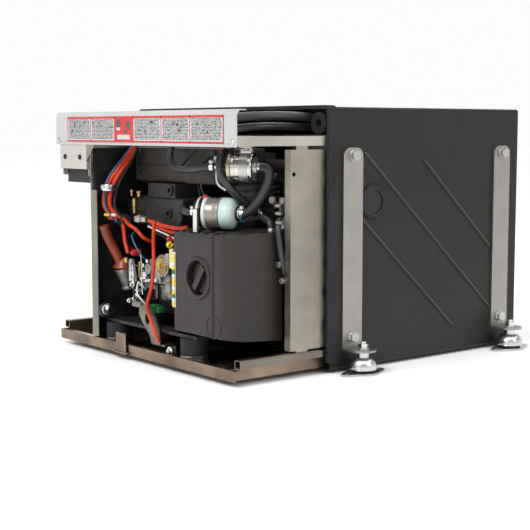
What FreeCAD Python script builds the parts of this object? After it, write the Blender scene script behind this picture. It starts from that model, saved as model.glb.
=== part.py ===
"""Slide-out generator set for a vehicle: a sheet-steel case on four domed vibration mounts, and a
drawer on rollers that carries the engine, the alternator and the fuel and air parts.

Frame: origin on the floor at the centre of the four feet, +X to the right as seen from the front,
+Y to the rear, +Z up, millimetres.  Case pieces are drawn from the case's front edge, drawer pieces
from the drawer's front face, both with z = 0 at the underside of the case; publish() places them.
"""

import FreeCAD, Part
import math
import os
import re

V = FreeCAD.Vector
TURN = FreeCAD.Rotation

# alias, value in mm, meaning
DIMENSIONS = [
    ("case_width", 460, "outside width of the case"),
    ("case_depth", 385, "outside depth of the case"),
    ("case_height", 360, "outside height of the case"),
    ("floor_gap", 4, "clearance under the case"),
    ("drawer_out", 160, "how far the drawer stands out of the case"),
    ("sheet", 2, "case and tray sheet thickness"),
    ("thin_sheet", 1.5, "thickness of the lighter frame sheets"),
    ("case_edge", 5, "outside bend radius of the case"),
    ("under_lip", 18, "width of the case's inward lip below"),
    ("bead_radius", 3, "radius of the stiffening beads"),
    ("bead_sunk", 1.7, "how far a bead's axis lies inside the wall"),
    ("strap_width", 36, "width of a mounting strap"),
    ("strap_thick", 3, "thickness of a mounting strap"),
    ("strap_top", 305, "height of a strap's top"),
    ("strap_corner", 12, "corner radius at a strap's top"),
    ("strap_inset", 38.5, "strap centre from the case's front or rear edge"),
    ("bolt_low", 44, "height of the lower strap bolt"),
    ("bolt_pitch", 250, "distance between the strap bolts"),
    ("bolt_shank", 4, "radius of a strap bolt"),
    ("bolt_flats", 13, "width across flats of a strap bolt"),
    ("bolt_head", 5.5, "height of a strap bolt's head"),
    ("washer_radius", 8.5, "radius of a strap bolt's washer"),
    ("washer_thick", 1.6, "thickness of a washer"),
    ("foot_reach", 25, "foot centre outside the case wall"),
    ("foot_level", 27, "underside of a strap's foot"),
    ("flange_thick", 3, "thickness of a foot flange"),
    ("flange_waist", 22, "radius of a foot flange's middle"),
    ("flange_lug", 9, "radius of a foot flange's ends"),
    ("flange_hole", 3.25, "radius of a foot bolt hole"),
    ("flange_pitch", 58, "distance between the bolt holes of a foot"),
    ("dome_radius", 19, "outside radius of a mount's dome"),
    ("dome_neck", 11, "radius of the flat on a dome"),
    ("dome_foot", 2.5, "height of a dome's rim above the case's underside"),
    ("dome_top", 19, "height of a dome's flat"),
    ("dome_wall", 1.5, "thickness of a dome"),
    ("stud_radius", 4, "radius of a mount's stud"),
    ("plug_height", 229.6, "height of the side plug"),
    ("plug_inset", 79.8, "side plug from the case's front edge"),
    ("plug_radius", 22.5, "radius of the side plug's lip"),
    ("plug_hole", 19, "radius of the hole that the plug closes"),
    ("seal_front", 6, "how far the edge seal stands in front of the case"),
    ("seal_grip", 8, "how far the edge seal reaches back over the wall"),
    ("seal_inside", 1.2, "thickness of the seal inside the wall"),
    ("seal_outside", 2.2, "thickness of the seal outside the wall"),
    ("ring_x", 210.5, "corner ring, right of centre"),
    ("ring_height", 338, "height of the corner ring"),
    ("roller_radius", 7, "radius of a drawer roller"),
    ("roller_width", 8, "width of a roller"),
    ("roller_pin", 2.5, "radius of a roller's pin"),
    ("running_gap", 0.05, "radial running clearance"),
    ("case_roller_height", 12.6, "axis of the case rollers"),
    ("case_roller_depth", 14, "case rollers behind the front edge"),
    ("drawer_roller_height", 10.4, "axis of the drawer rollers"),
    ("drawer_roller_depth", 360, "drawer rollers behind the drawer's front"),
    ("guide_inner", 216.5, "inner edge of a guide channel"),
    ("guide_thick", 1.1, "thickness of a guide channel"),
    ("guide_front", 9, "front end of a guide's web"),
    ("guide_track", 26, "front end of a guide's flanges"),
    ("guide_top", 19.3, "top of a guide channel"),
    ("tray_half", 215, "half width of the tray"),
    ("tray_depth", 370, "depth of the tray"),
    ("tray_low", 3.5, "underside of the tray"),
    ("tray_side", 20, "top of the tray's side walls"),
    ("lip_half", 225, "half width of the tray's front lip"),
    ("lip_top", 18.5, "top of the front lip"),
    ("lip_return", 8, "depth of the front lip's folded rim"),
    ("rail_outer", 226, "outer face of the side rails"),
    ("rail_width", 13, "width of a side rail"),
    ("rail_top", 31.5, "top of the lower rails"),
    ("frame_low", 308, "underside of the top rails"),
    ("frame_top", 321, "top of the top rails"),
    ("panel_half", 229, "half width of the label panel"),
    ("panel_low", 307, "underside of the label panel"),
    ("panel_bend", 348, "height where the label panel leans back"),
    ("panel_top", 355.5, "top of the label panel"),
    ("divider_x", 131.5, "left face of the divider, left of centre"),
    ("divider_flange", 17, "width of the divider's front flange"),
    ("divider_flange_top", 240, "top of the divider's front flange"),
    ("lining_thick", 5.5, "thickness of the foam lining"),
    ("side_panel_front", 94, "front edge of the right side panel"),
    ("side_panel_low", 33.7, "underside of the right side panel"),
    ("side_panel_top", 303, "top of the right side panel"),
    ("side_panel_face", 224, "outer face of the right side panel"),
    ("shaft_radius", 12, "radius of the drive shaft"),
    ("shaft_depth", 215, "drive shaft behind the drawer's front"),
    ("shaft_height", 112, "height of the drive shaft"),
    ("lever_x", -82, "throttle lever's pivot, right of centre"),
    ("lever_height", 99, "height of the throttle lever's pivot"),
    ("lever_front", 40, "front face of the throttle lever"),
    ("latch_left", -58, "left edge of the front latch"),
    ("latch_width", 26, "width of the front latch"),
    ("latch_front", 2.6, "latch pin in front of the lip"),
    ("latch_height", 6, "height of the latch pin"),
    ("latch_knuckle", 2.2, "radius of the latch's knuckles"),
    ("latch_pin", 1.2, "radius of the latch's pin"),
    ("airbox_left", 60, "left face of the air box"),
    ("airbox_right", 200, "right face of the air box"),
    ("airbox_front", 14, "front face of the air box"),
    ("airbox_split", 76, "joint between the air box's cover and base"),
    ("airbox_back", 100, "back of the air box"),
    ("airbox_wall", 2.5, "wall of the air box"),
    ("knob_x", 125, "air box knob, right of centre"),
    ("knob_height", 130, "height of the air box knob"),
    ("knob_radius", 21, "radius of the air box knob"),
    ("knob_well", 23.5, "radius of the knob's well"),
]

doc = FreeCAD.newDocument("generator_set")
sheet = doc.addObject("Spreadsheet::Sheet", "Dims")
for line, (alias, amount, meaning) in enumerate(DIMENSIONS, 1):
    sheet.set(f"A{line}", meaning)
    sheet.set(f"B{line}", str(amount))
    sheet.setAlias(f"B{line}", alias)
doc.recompute()

PARTS = []
CASE = "-case_depth/2"
DRAWER = "-case_depth/2 - drawer_out"


# ---------------------------------------------------------------- helpers


def size(alias):
    """A driving dimension's value, for shapes that have no expression."""
    return float(sheet.get(alias))


def bind(thing, prop, text):
    """Binds a property to an expression of the sheet's aliases."""
    thing.setExpression(prop, re.sub(r"\b[a-z]\w*\b(?!\()", lambda word: "Dims." + word.group(), str(text)))


def settle(thing, place):
    """Binds a piece's position to three expressions."""
    for letter, text in zip("xyz", place):
        bind(thing, "Placement.Base." + letter, text)
    return thing


def box(name, lengths, corner):
    """A block from its lowest corner."""
    made = doc.addObject("Part::Box", name)
    for prop, text in zip(("Length", "Width", "Height"), lengths):
        bind(made, prop, text)
    return settle(made, corner)


AXIS_TURN = {
    "x": TURN(V(0, 1, 0), 90),
    "y": TURN(V(1, 0, 0), -90),
    "z": TURN(),
}


def rod(name, radius, length, start, axis="z"):
    """A cylinder that runs from start along +axis."""
    made = doc.addObject("Part::Cylinder", name)
    bind(made, "Radius", radius)
    bind(made, "Height", length)
    made.Placement = FreeCAD.Placement(V(), AXIS_TURN[axis])
    return settle(made, start)


def cone(name, low, high, length, start, axis="z"):
    """A cone that runs from start along +axis."""
    made = doc.addObject("Part::Cone", name)
    bind(made, "Radius1", low)
    bind(made, "Radius2", high)
    bind(made, "Height", length)
    made.Placement = FreeCAD.Placement(V(), AXIS_TURN[axis])
    return settle(made, start)


def ring(name, middle, section, centre, axis="z"):
    """A torus about an axis."""
    made = doc.addObject("Part::Torus", name)
    bind(made, "Radius1", middle)
    bind(made, "Radius2", section)
    made.Placement = FreeCAD.Placement(V(), AXIS_TURN[axis])
    return settle(made, centre)


def prism(name, sides, radius, length, start, axis="z"):
    """A regular prism, such as a bolt's head, that runs from start along +axis."""
    made = doc.addObject("Part::Prism", name)
    made.Polygon = sides
    bind(made, "Circumradius", radius)
    bind(made, "Height", length)
    made.Placement = FreeCAD.Placement(V(), AXIS_TURN[axis])
    return settle(made, start)


def fuse(name, *pieces):
    """One solid of several that touch."""
    if len(pieces) == 1:
        return pieces[0]
    made = doc.addObject("Part::MultiFuse", name)
    made.Shapes = list(pieces)
    made.Refine = True
    return made


def cut(name, base, *tools):
    """Base without the tools."""
    made = doc.addObject("Part::Cut", name)
    made.Base = base
    made.Tool = fuse(name + "_tool", *tools)
    made.Refine = True
    return made


def group(name, *pieces):
    """Separate solids kept as one sub-part."""
    made = doc.addObject("Part::Compound", name)
    made.Links = list(pieces)
    return made


def fillet(name, base, radius, chosen):
    """Rounds the edges of base that chosen(edge) accepts."""
    doc.recompute()
    made = doc.addObject("Part::Fillet", name)
    made.Base = base
    picked = [i for i, edge in enumerate(base.Shape.Edges, 1) if chosen(edge)]
    made.Edges = [(i, radius, radius) for i in picked]
    return made


def runs_along(edge, letter):
    """True if a straight edge is parallel to an axis."""
    if len(edge.Vertexes) != 2 or not isinstance(edge.Curve, Part.Line):
        return False
    way = edge.Vertexes[1].Point - edge.Vertexes[0].Point
    rest = [abs(getattr(way, other)) for other in "xyz" if other != letter]
    return max(rest) < 1e-6


def body_of_outline(name, role, outline, length, offset="0", midplane=False):
    """A PartDesign body: a closed polygon on an origin plane, padded to a length."""
    body = doc.addObject("PartDesign::Body", name)
    drawn = body.newObject("Sketcher::SketchObject", name + "_outline")
    plane = [f for f in body.Origin.OriginFeatures if f.Role == role][0]
    drawn.AttachmentSupport = [(plane, "")]
    drawn.MapMode = "FlatFace"
    bind(drawn, "AttachmentOffset.Base.z", offset)
    corners = [V(a, b, 0) for a, b in outline]
    for start, end in zip(corners, corners[1:] + corners[:1]):
        drawn.addGeometry(Part.LineSegment(start, end))
    pad = body.newObject("PartDesign::Pad", name + "_pad")
    pad.Profile = drawn
    bind(pad, "Length", length)
    pad.Midplane = midplane
    body.Tip = pad
    doc.recompute()
    return body


def rounded_path(points):
    """Straight runs joined by tangent arcs, each as large as its two runs allow."""
    share = 0.45
    corners = [V(*p) for p in points]
    edges, start = [], corners[0]
    for before, here, after in zip(corners, corners[1:], corners[2:]):
        come, go = here - before, after - here
        turn = come.getAngle(go)
        back = share * min(come.Length, go.Length)
        come.normalize()
        go.normalize()
        radius = back / math.tan(turn / 2)
        first, last = here - come * back, here + go * back
        inward = (go - come).normalize()
        centre_gap = radius / math.cos(turn / 2)
        middle = here + inward * (centre_gap - radius)
        if (first - start).Length > 1e-6:
            edges.append(Part.LineSegment(start, first).toShape())
        edges.append(Part.Arc(first, middle, last).toShape())
        start = last
    edges.append(Part.LineSegment(start, corners[-1]).toShape())
    return Part.Wire(edges)


def hose(points, radius):
    """A round solid along a rounded path."""
    path = rounded_path(points)
    start = path.Edges[0]
    way = start.tangentAt(start.FirstParameter)
    circle = Part.Circle(start.valueAt(start.FirstParameter), way, radius)
    tube = path.makePipeShell([Part.Wire(circle.toShape())], True, True)
    expected = math.pi * radius ** 2 * path.Length
    if abs(tube.Volume / expected - 1) > 0.02:
        raise ValueError(f"hose volume {tube.Volume:.0f}, expected {expected:.0f}")
    return tube


def shaped(name, *shapes):
    """A feature that holds shapes made with Part's own functions."""
    made = doc.addObject("Part::Feature", name)
    made.Shape = shapes[0] if len(shapes) == 1 else Part.makeCompound(list(shapes))
    return made


def publish(label, made, frame):
    """Names a sub-part and places it in the object's frame."""
    if made.TypeId == "Part::Box":
        made = group(label, made)
    made.Label = label
    settle(made, ("0", frame, "floor_gap"))
    PARTS.append(made)
    return made


def both_sides(build):
    """Calls build for the right side and for its mirror on the left."""
    for side, sign in (("right", 1), ("left", -1)):
        build(side, sign)


def across(sign, low, high):
    """Corner and length along X of a block between two distances from the centre plane."""
    corner = f"{low}" if sign > 0 else f"-({high})"
    return corner, f"({high}) - ({low})"


# ---------------------------------------------------------------- case


CORNERS = [(f"{side}_{end}", sign, place)
           for side, sign in (("right", 1), ("left", -1))
           for end, place in (("front", "strap_inset"), ("rear", "case_depth - strap_inset"))]
BOLT_LEVELS = ["bolt_low", "bolt_low + bolt_pitch"]


def bead(name, sign, start, end):
    """A pressed stiffening bead between two points (y, z) of a side wall."""
    (y0, z0), (y1, z1) = start, end
    length = math.hypot(y1 - y0, z1 - z0)
    x = f"{sign}*(case_width/2 - bead_sunk)"
    stem = doc.addObject("Part::Cylinder", name + "_stem")
    bind(stem, "Radius", "bead_radius")
    stem.Height = length
    stem.Placement = FreeCAD.Placement(V(), TURN(V(0, 0, 1), V(0, y1 - y0, z1 - z0)))
    settle(stem, (x, y0, z0))
    ends = []
    for tag, (y, z) in (("start", start), ("end", end)):
        ball = doc.addObject("Part::Sphere", f"{name}_{tag}")
        bind(ball, "Radius", "bead_radius")
        ends.append(settle(ball, (x, y, z)))
    return [stem] + ends


def make_case_shell():
    """Top, two side walls with beads, and a lip along each side of the open underside."""
    outer = box("shell_block", ("case_width", "case_depth", "case_height"), ("-case_width/2", "0", "0"))
    pieces = [fillet("shell_round", outer, size("case_edge"), lambda edge: runs_along(edge, "y"))]
    runs = [((62, 297), (325, 60)), ((179, 285), (322, 154)), ((59, 204), (243.5, 39))]
    for sign in (1, -1):
        for i, (start, end) in enumerate(runs):
            pieces += bead(f"bead_{'right' if sign > 0 else 'left'}_{i}", sign, start, end)
    inside = box("shell_inside", ("case_width - 2*sheet", "case_depth + 2*sheet", "case_height - 2*sheet"),
                 ("sheet - case_width/2", "-sheet", "sheet"))
    under = box("shell_under", ("case_width - 2*under_lip", "case_depth + 2*sheet", "4*sheet"),
                ("under_lip - case_width/2", "-sheet", "-sheet"))
    holes = [rod("plug_opening", "plug_hole", "4*sheet", ("case_width/2 - 2*sheet", "plug_inset",
                                                          "plug_height"), "x")]
    for corner, sign, place in CORNERS:
        for i, level in enumerate(BOLT_LEVELS):
            x = f"{sign}*case_width/2 - 2*sheet"
            holes.append(rod(f"shell_hole_{corner}_{i}", "bolt_shank", "4*sheet", (x, place, level), "x"))
    shell = cut("case_shell", fuse("shell_full", *pieces), inside, under, *holes)
    publish("case_shell", shell, CASE)


def make_rear_panel():
    """The rear wall, with two columns of hooded louvres."""
    plate = box("rear_plate", ("case_width - 2*sheet", "sheet", "case_height - 2*sheet"),
                ("sheet - case_width/2", "case_depth - sheet", "sheet"))
    slots, hoods = [], []
    for column, x in enumerate((-185, 35)):
        for row in range(9):
            z = 70 + 26 * row
            slots.append(box(f"slot_{column}_{row}", ("150", "3*sheet", "6"), (x, "case_depth - 2*sheet", z)))
            hood = rod(f"hood_{column}_{row}", "8", "156", (x - 3, "case_depth", z + 3), "x")
            hollow = rod(f"hood_hollow_{column}_{row}", "6.8", "153.6", (x - 1.8, "case_depth", z + 3), "x")
            mouth = box(f"hood_mouth_{column}_{row}", ("160", "20", "9"), (x - 5, "case_depth - 10", z - 6))
            front = box(f"hood_front_{column}_{row}", ("160", "10", "20"), (x - 5, "case_depth - 10", z - 6))
            hoods.append(cut(f"hood_shell_{column}_{row}", hood, hollow, mouth, front))
    panel = fuse("rear_panel", cut("rear_slotted", plate, *slots), *hoods)
    publish("rear_panel", panel, CASE)


def make_side_plug():
    """A push-in plug that closes the service hole of the right wall."""
    wall = "case_width/2"
    lip = rod("plug_lip", "plug_radius", "2.2", (wall, "plug_inset", "plug_height"), "x")
    neck = rod("plug_neck", "plug_hole - 0.1", "2*sheet", (wall + " - 2*sheet", "plug_inset", "plug_height"),
               "x")
    well = rod("plug_well", "plug_hole - 2.5", "3*sheet", (wall + " - sheet", "plug_inset", "plug_height"),
               "x")
    publish("side_plug", cut("side_plug", fuse("plug_full", lip, neck), well), CASE)


def make_edge_seal():
    """A rubber profile gripped on the front edge of the top and side walls."""
    outside = box("seal_block", ("case_width + 2*seal_outside", "seal_front + seal_grip",
                                 "case_height - 12 + seal_outside"),
                  ("-case_width/2 - seal_outside", "-seal_front", "12"))
    top_edges = fillet("seal_round", outside, size("case_edge") + size("seal_outside"),
                       lambda edge: runs_along(edge, "y") and edge.Vertexes[0].Z > 100)
    inside = box("seal_inside", ("case_width - 2*sheet - 2*seal_inside", "100",
                                 "case_height - sheet - seal_inside"),
                 ("-case_width/2 + sheet + seal_inside", "-50", "0"))
    wall = box("seal_wall", ("case_width", "100", "case_height"), ("-case_width/2", "0", "0"))
    wall_round = fillet("seal_wall_round", wall, size("case_edge"), lambda edge: runs_along(edge, "y"))
    bay = box("seal_bay", ("case_width - 2*sheet", "100", "case_height - sheet"),
              ("sheet - case_width/2", "0", "0"))
    groove = cut("seal_groove", wall_round, bay)
    publish("edge_seal", cut("edge_seal", top_edges, inside, groove), CASE)


def make_corner_ring():
    """A rubber ring at the top right corner, on an angle under the top wall."""
    disc = rod("ring_disc", "15", "12", ("ring_x", "-6", "ring_height"), "y")
    hole = rod("ring_hole", "5", "20", ("ring_x", "-10", "ring_height"), "y")
    neck = rod("ring_neck", "9", "14", ("ring_x", "6", "ring_height"), "y")
    stalk = box("ring_stalk", ("12", "8", "16"), ("ring_x - 6", "12", "ring_height + 4"))
    publish("corner_ring", cut("corner_ring", fuse("ring_full", disc, neck, stalk), hole), CASE)


def make_straps():
    """Four mounting straps: a bolted upright with a foot turned outward over the mount."""
    straps = []
    for corner, sign, place in CORNERS:
        x, width = across(sign, "case_width/2", "case_width/2 + strap_thick")
        upright = box(f"upright_{corner}", (width, "strap_width", "strap_top - foot_level"),
                      (x, f"{place} - strap_width/2", "foot_level"))
        rounded = fillet(f"upright_round_{corner}", upright, size("strap_corner"),
                         lambda edge: runs_along(edge, "x") and edge.Vertexes[0].Z > size("bolt_pitch"))
        x, reach = across(sign, "case_width/2", "case_width/2 + foot_reach")
        foot = box(f"strap_foot_{corner}", (reach, "strap_width", "strap_thick"),
                   (x, f"{place} - strap_width/2", "foot_level"))
        centre = f"{sign}*(case_width/2 + foot_reach)"
        end = rod(f"strap_end_{corner}", "strap_width/2", "strap_thick", (centre, place, "foot_level"))
        holes = [rod(f"strap_stud_{corner}", "stud_radius", "4*strap_thick",
                     (centre, place, "foot_level - strap_thick"))]
        for i, level in enumerate(BOLT_LEVELS):
            start = f"{sign}*case_width/2 - 3*strap_thick"
            holes.append(rod(f"strap_hole_{corner}_{i}", "bolt_shank", "6*strap_thick",
                             (start, place, level), "x"))
        straps.append(cut(f"strap_{corner}", fuse(f"strap_full_{corner}", rounded, foot, end), *holes))
    publish("mounting_straps", group("mounting_straps", *straps), CASE)


def make_strap_fasteners():
    """Eight flange bolts outside the straps and eight rivet nuts inside the wall."""
    bolts, nuts = [], []
    for corner, sign, place in CORNERS:
        for i, level in enumerate(BOLT_LEVELS):
            tag = f"{corner}_{i}"
            face = "case_width/2 + strap_thick"
            x, deep = across(sign, face, face + " + washer_thick")
            flange = rod("flange_" + tag, "washer_radius", deep, (x, place, level), "x")
            x, deep = across(sign, face, face + " + washer_thick + bolt_head")
            head = prism("head_" + tag, 6, "bolt_flats/sqrt(3)", deep, (x, place, level), "x")
            x, deep = across(sign, "case_width/2 - sheet - 2.8", face + " + washer_thick")
            shank = rod("shank_" + tag, "bolt_shank", deep, (x, place, level), "x")
            bolts.append(fuse("bolt_" + tag, flange, head, shank))
            x, deep = across(sign, "case_width/2 - sheet - 2.8", "case_width/2 - sheet")
            body = rod("rivet_" + tag, "washer_radius - 1", deep, (x, place, level), "x")
            hole = rod("rivet_hole_" + tag, "bolt_shank", "20", (f"{x} - 5", place, level), "x")
            nuts.append(cut("nut_" + tag, body, hole))
    publish("strap_fasteners", group("strap_fasteners", *bolts, *nuts), CASE)


def rhombic_flange():
    """A flange outline: a round middle, an ear at each end along Y and straight sides between."""
    waist, ear = size("flange_waist"), size("flange_lug")
    pitch = size("flange_pitch") / 2
    lean = math.asin((waist - ear) / pitch)
    side = V(math.cos(lean), math.sin(lean), 0)
    turns = [V(side.x, side.y, 0), V(-side.x, side.y, 0), V(-side.x, -side.y, 0), V(side.x, -side.y, 0)]
    ear_at = [V(0, pitch, 0), V(0, pitch, 0), V(0, -pitch, 0), V(0, -pitch, 0)]
    inner = [turn * waist for turn in turns]
    outer = [centre + turn * ear for centre, turn in zip(ear_at, turns)]
    edges = [
        Part.LineSegment(inner[0], outer[0]).toShape(),
        Part.Arc(outer[0], V(0, pitch + ear, 0), outer[1]).toShape(),
        Part.LineSegment(outer[1], inner[1]).toShape(),
        Part.Arc(inner[1], V(-waist, 0, 0), inner[2]).toShape(),
        Part.LineSegment(inner[2], outer[2]).toShape(),
        Part.Arc(outer[2], V(0, -pitch - ear, 0), outer[3]).toShape(),
        Part.LineSegment(outer[3], inner[3]).toShape(),
        Part.Arc(inner[3], V(waist, 0, 0), inner[0]).toShape(),
    ]
    plate = Part.Face(Part.Wire(edges)).extrude(V(0, 0, size("flange_thick")))
    for y in (pitch, -pitch):
        plate = plate.cut(Part.makeCylinder(size("flange_hole"), 20, V(0, y, -5)))
    return plate


def dome():
    """A mount's sheet dome: a quarter ellipse turned about the stud, hollow below."""
    rim, neck = size("dome_radius"), size("dome_neck")
    wall, rise = size("dome_wall"), size("dome_top") - size("dome_foot")

    def turned(rim_at, neck_at, rise_to):
        arc = [V(neck_at + (rim_at - neck_at) * math.cos(a), 0, rise_to * math.sin(a))
               for a in (0, math.pi / 4, math.pi / 2)]
        curve = Part.Arc(*arc).toShape()
        top = Part.LineSegment(arc[2], V(0, 0, rise_to)).toShape()
        core = Part.LineSegment(V(0, 0, rise_to), V()).toShape()
        base = Part.LineSegment(V(), arc[0]).toShape()
        return Part.Face(Part.Wire([curve, top, core, base])).revolve(V(), V(0, 0, 1), 360)

    shell = turned(rim, neck, rise).cut(turned(rim - wall, neck - wall, rise - wall))
    return shell.cut(Part.makeCylinder(size("stud_radius"), 60, V(0, 0, -5)))


def make_mounts():
    """Per foot: a floor flange, a rubber, a dome, and a stud with spacer, washer and nut."""
    floor = -size("floor_gap")
    flanges, rubbers, domes, studs = [], [], [], []
    for corner, sign, place in CORNERS:
        y = size("strap_inset") if corner.endswith("front") else size("case_depth") - size("strap_inset")
        centre = V(sign * (size("case_width") / 2 + size("foot_reach")), y, 0)
        flange = rhombic_flange()
        flange.translate(centre + V(0, 0, floor))
        flanges.append(flange)
        cap = dome()
        cap.translate(centre + V(0, 0, size("dome_foot")))
        domes.append(cap)
        x = f"{sign}*(case_width/2 + foot_reach)"
        low = "flange_thick - floor_gap"
        block = cone("rubber_block_" + corner, "dome_radius - 2.6", "dome_neck - 2.6",
                     f"dome_top - dome_wall - ({low})", (x, place, low))
        bore = rod("rubber_bore_" + corner, "stud_radius", "60", (x, place, "0"))
        rubbers.append(cut("rubber_" + corner, block, bore))
        stem = rod("stem_" + corner, "stud_radius", "foot_level + 14", (x, place, "0"))
        spacer = rod("spacer_" + corner, "8", "foot_level - dome_top", (x, place, "dome_top"))
        washer = rod("stud_washer_" + corner, "washer_radius", "washer_thick",
                     (x, place, "foot_level + strap_thick"))
        nut = prism("stud_nut_" + corner, 6, "bolt_flats/sqrt(3)", "6.5",
                    (x, place, "foot_level + strap_thick + washer_thick"))
        studs.append(fuse("stud_" + corner, stem, spacer, washer, nut))
    publish("foot_flanges", shaped("foot_flanges", *flanges), CASE)
    publish("foot_rubbers", group("foot_rubbers", *rubbers), CASE)
    publish("foot_domes", shaped("foot_domes", *domes), CASE)
    publish("foot_studs", group("foot_studs", *studs), CASE)


def make_guides():
    """Two C-section channels that carry the drawer's rear rollers, each with a roller's pin at its front."""
    guides = []

    def one(side, sign):
        outer, web_from = "case_width/2 - sheet", "case_width/2 - sheet - guide_thick"
        x, thick = across(sign, web_from, outer)
        pieces = [box("web_" + side, (thick, "case_depth - sheet - guide_front", "guide_top - sheet"),
                      (x, "guide_front", "sheet"))]
        x, wide = across(sign, "guide_inner", outer)
        for part_name, level in (("floor", "sheet"), ("roof", "guide_top - guide_thick")):
            pieces.append(box(f"guide_{part_name}_{side}", (wide, "case_depth - sheet - guide_track",
                                                            "guide_thick"),
                              (x, "guide_track", level)))
        x, wide = across(sign, "guide_inner", web_from)
        pieces.append(rod("case_pin_" + side, "roller_pin", wide,
                          (x, "case_roller_depth", "case_roller_height"), "x"))
        guides.append(fuse("guide_" + side, *pieces))

    both_sides(one)
    publish("drawer_guides", group("drawer_guides", *guides), CASE)


def make_rollers():
    """A pair of rollers at the case's front edge and a pair at the drawer's rear."""
    sets = (("case", "case_roller_depth", "case_roller_height", CASE),
            ("drawer", "drawer_roller_depth", "drawer_roller_height", DRAWER))
    for owner, depth, height, frame in sets:
        wheels = []

        def one(side, sign):
            x, wide = across(sign, "guide_inner + 1", "guide_inner + 1 + roller_width")
            wheel = rod(f"{owner}_wheel_{side}", "roller_radius", wide, (x, depth, height), "x")
            bore = rod(f"{owner}_bore_{side}", "roller_pin + running_gap", "40",
                       (f"{x} - 10", depth, height), "x")
            wheels.append(cut(f"{owner}_roller_{side}", wheel, bore))

        both_sides(one)
        publish(f"{owner}_rollers", group(f"{owner}_rollers", *wheels), frame)


# ---------------------------------------------------------------- drawer frame


def latch_hinge():
    """The latch's hinge on the tray's lip: a pin between two knuckles."""
    pieces = [rod("hinge_pin", "latch_pin", "latch_width + 8",
                  ("latch_left - 4", "-latch_front", "latch_height"), "x")]
    for i, x in enumerate(("latch_left - 4", "latch_left + latch_width + 0.4")):
        pieces.append(rod(f"hinge_knuckle_{i}", "latch_knuckle", "3.6", (x, "-latch_front", "latch_height"),
                          "x"))
        pieces.append(box(f"hinge_leaf_{i}", ("3.6", "latch_front", "3"),
                          (x, "-latch_front", "latch_height - 1.5")))
    return pieces


def make_tray():
    """Floor with vent slots, low walls with roller pins, and a wider front lip with a latch hinge."""
    floor = box("tray_floor", ("2*tray_half", "tray_depth", "sheet"), ("-tray_half", "0", "tray_low"))
    pieces = [floor]
    for name, x in (("right", "tray_half - thin_sheet"), ("left", "-tray_half")):
        pieces.append(box("tray_side_" + name, ("thin_sheet", "tray_depth", "tray_side - tray_low"),
                          (x, "0", "tray_low")))
    pieces.append(box("tray_rear", ("2*tray_half", "thin_sheet", "tray_side - tray_low"),
                      ("-tray_half", "tray_depth - thin_sheet", "tray_low")))
    pieces.append(box("tray_lip", ("2*lip_half", "thin_sheet", "lip_top - tray_low"),
                      ("-lip_half", "0", "tray_low")))
    pieces.append(box("tray_rim", ("2*lip_half", "lip_return", "thin_sheet"),
                      ("-lip_half", "0", "lip_top - thin_sheet")))
    slots = [box(f"vent_{i}", ("12", "110", "6"), (-80 + 26 * i, "185", "1")) for i in range(7)]
    shell = cut("tray_slotted", fuse("tray_full", *pieces), *slots)
    pins = []

    def one(side, sign):
        x, wide = across(sign, "tray_half", "guide_inner + roller_width + 1.5")
        pins.append(rod("tray_pin_" + side, "roller_pin", wide,
                        (x, "drawer_roller_depth", "drawer_roller_height"), "x"))

    both_sides(one)
    publish("tray", fuse("tray", shell, *pins, *latch_hinge()), DRAWER)


def make_lower_rails():
    """Two box rails on the tray's walls; the case rollers carry them from below."""
    rails = []

    def one(side, sign):
        x, wide = across(sign, "rail_outer - rail_width", "rail_outer")
        tall = "rail_top - tray_side"
        bar = box("rail_bar_" + side, (wide, "tray_depth - lip_return", tall), (x, "lip_return", "tray_side"))
        rounded = fillet("rail_round_" + side, bar, 3, lambda edge: runs_along(edge,
                                                                               "y") and edge.Vertexes[0].Z > 25)
        bore = box("rail_bore_" + side, ("rail_width - 2*thin_sheet", "2*tray_depth",
                                         f"{tall} - 2*thin_sheet"),
                   (f"{x} + thin_sheet", "-10", "tray_side + thin_sheet"))
        rails.append(cut("rail_" + side, rounded, bore))

    both_sides(one)
    publish("lower_rails", group("lower_rails", *rails), DRAWER)


def rear_frame():
    """The drawer's rear wall between rails, with two large air openings."""
    plate = box("rear_sheet", ("2*(rail_outer - rail_width)", "thin_sheet", "frame_top - tray_side"),
                ("rail_width - rail_outer", "tray_depth - thin_sheet", "tray_side"))
    wings = [box("rear_wing_" + side, ("side_panel_face - rail_outer + rail_width", "thin_sheet",
                                       "frame_top - rail_top"),
                 (x, "tray_depth - thin_sheet", "rail_top"))
             for side, x in (("right", "rail_outer - rail_width"), ("left", "-side_panel_face"))]
    windows = [box(f"rear_window_{i}", ("150", "20", "170"), (x, "tray_depth - 10", "50")) for i,
               x in enumerate((-195, 20))]
    return cut("rear_frame", fuse("rear_full", plate, *wings), *windows)


def make_upper_frame():
    """Two top rails, a cross bar behind the label panel, and the drawer's rear wall."""
    pieces = [rear_frame()]

    def one(side, sign):
        x, wide = across(sign, "rail_outer - rail_width", "rail_outer")
        bar = box("top_bar_" + side, (wide, "tray_depth - 2*thin_sheet", "frame_top - frame_low"),
                  (x, "thin_sheet", "frame_low"))
        bore = box("top_bore_" + side, ("rail_width - 2*thin_sheet", "2*tray_depth",
                                        "rail_width - 2*thin_sheet"),
                   (f"{x} + thin_sheet", "thin_sheet + 6", "frame_low + thin_sheet"))
        pieces.append(cut("top_rail_" + side, bar, bore))

    both_sides(one)
    pieces.append(box("cross_bar", ("2*(rail_outer - rail_width)", "16", "frame_top - frame_low"),
                      ("rail_width - rail_outer", "58", "frame_low")))
    publish("upper_frame", fuse("upper_frame", *pieces), DRAWER)


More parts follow.
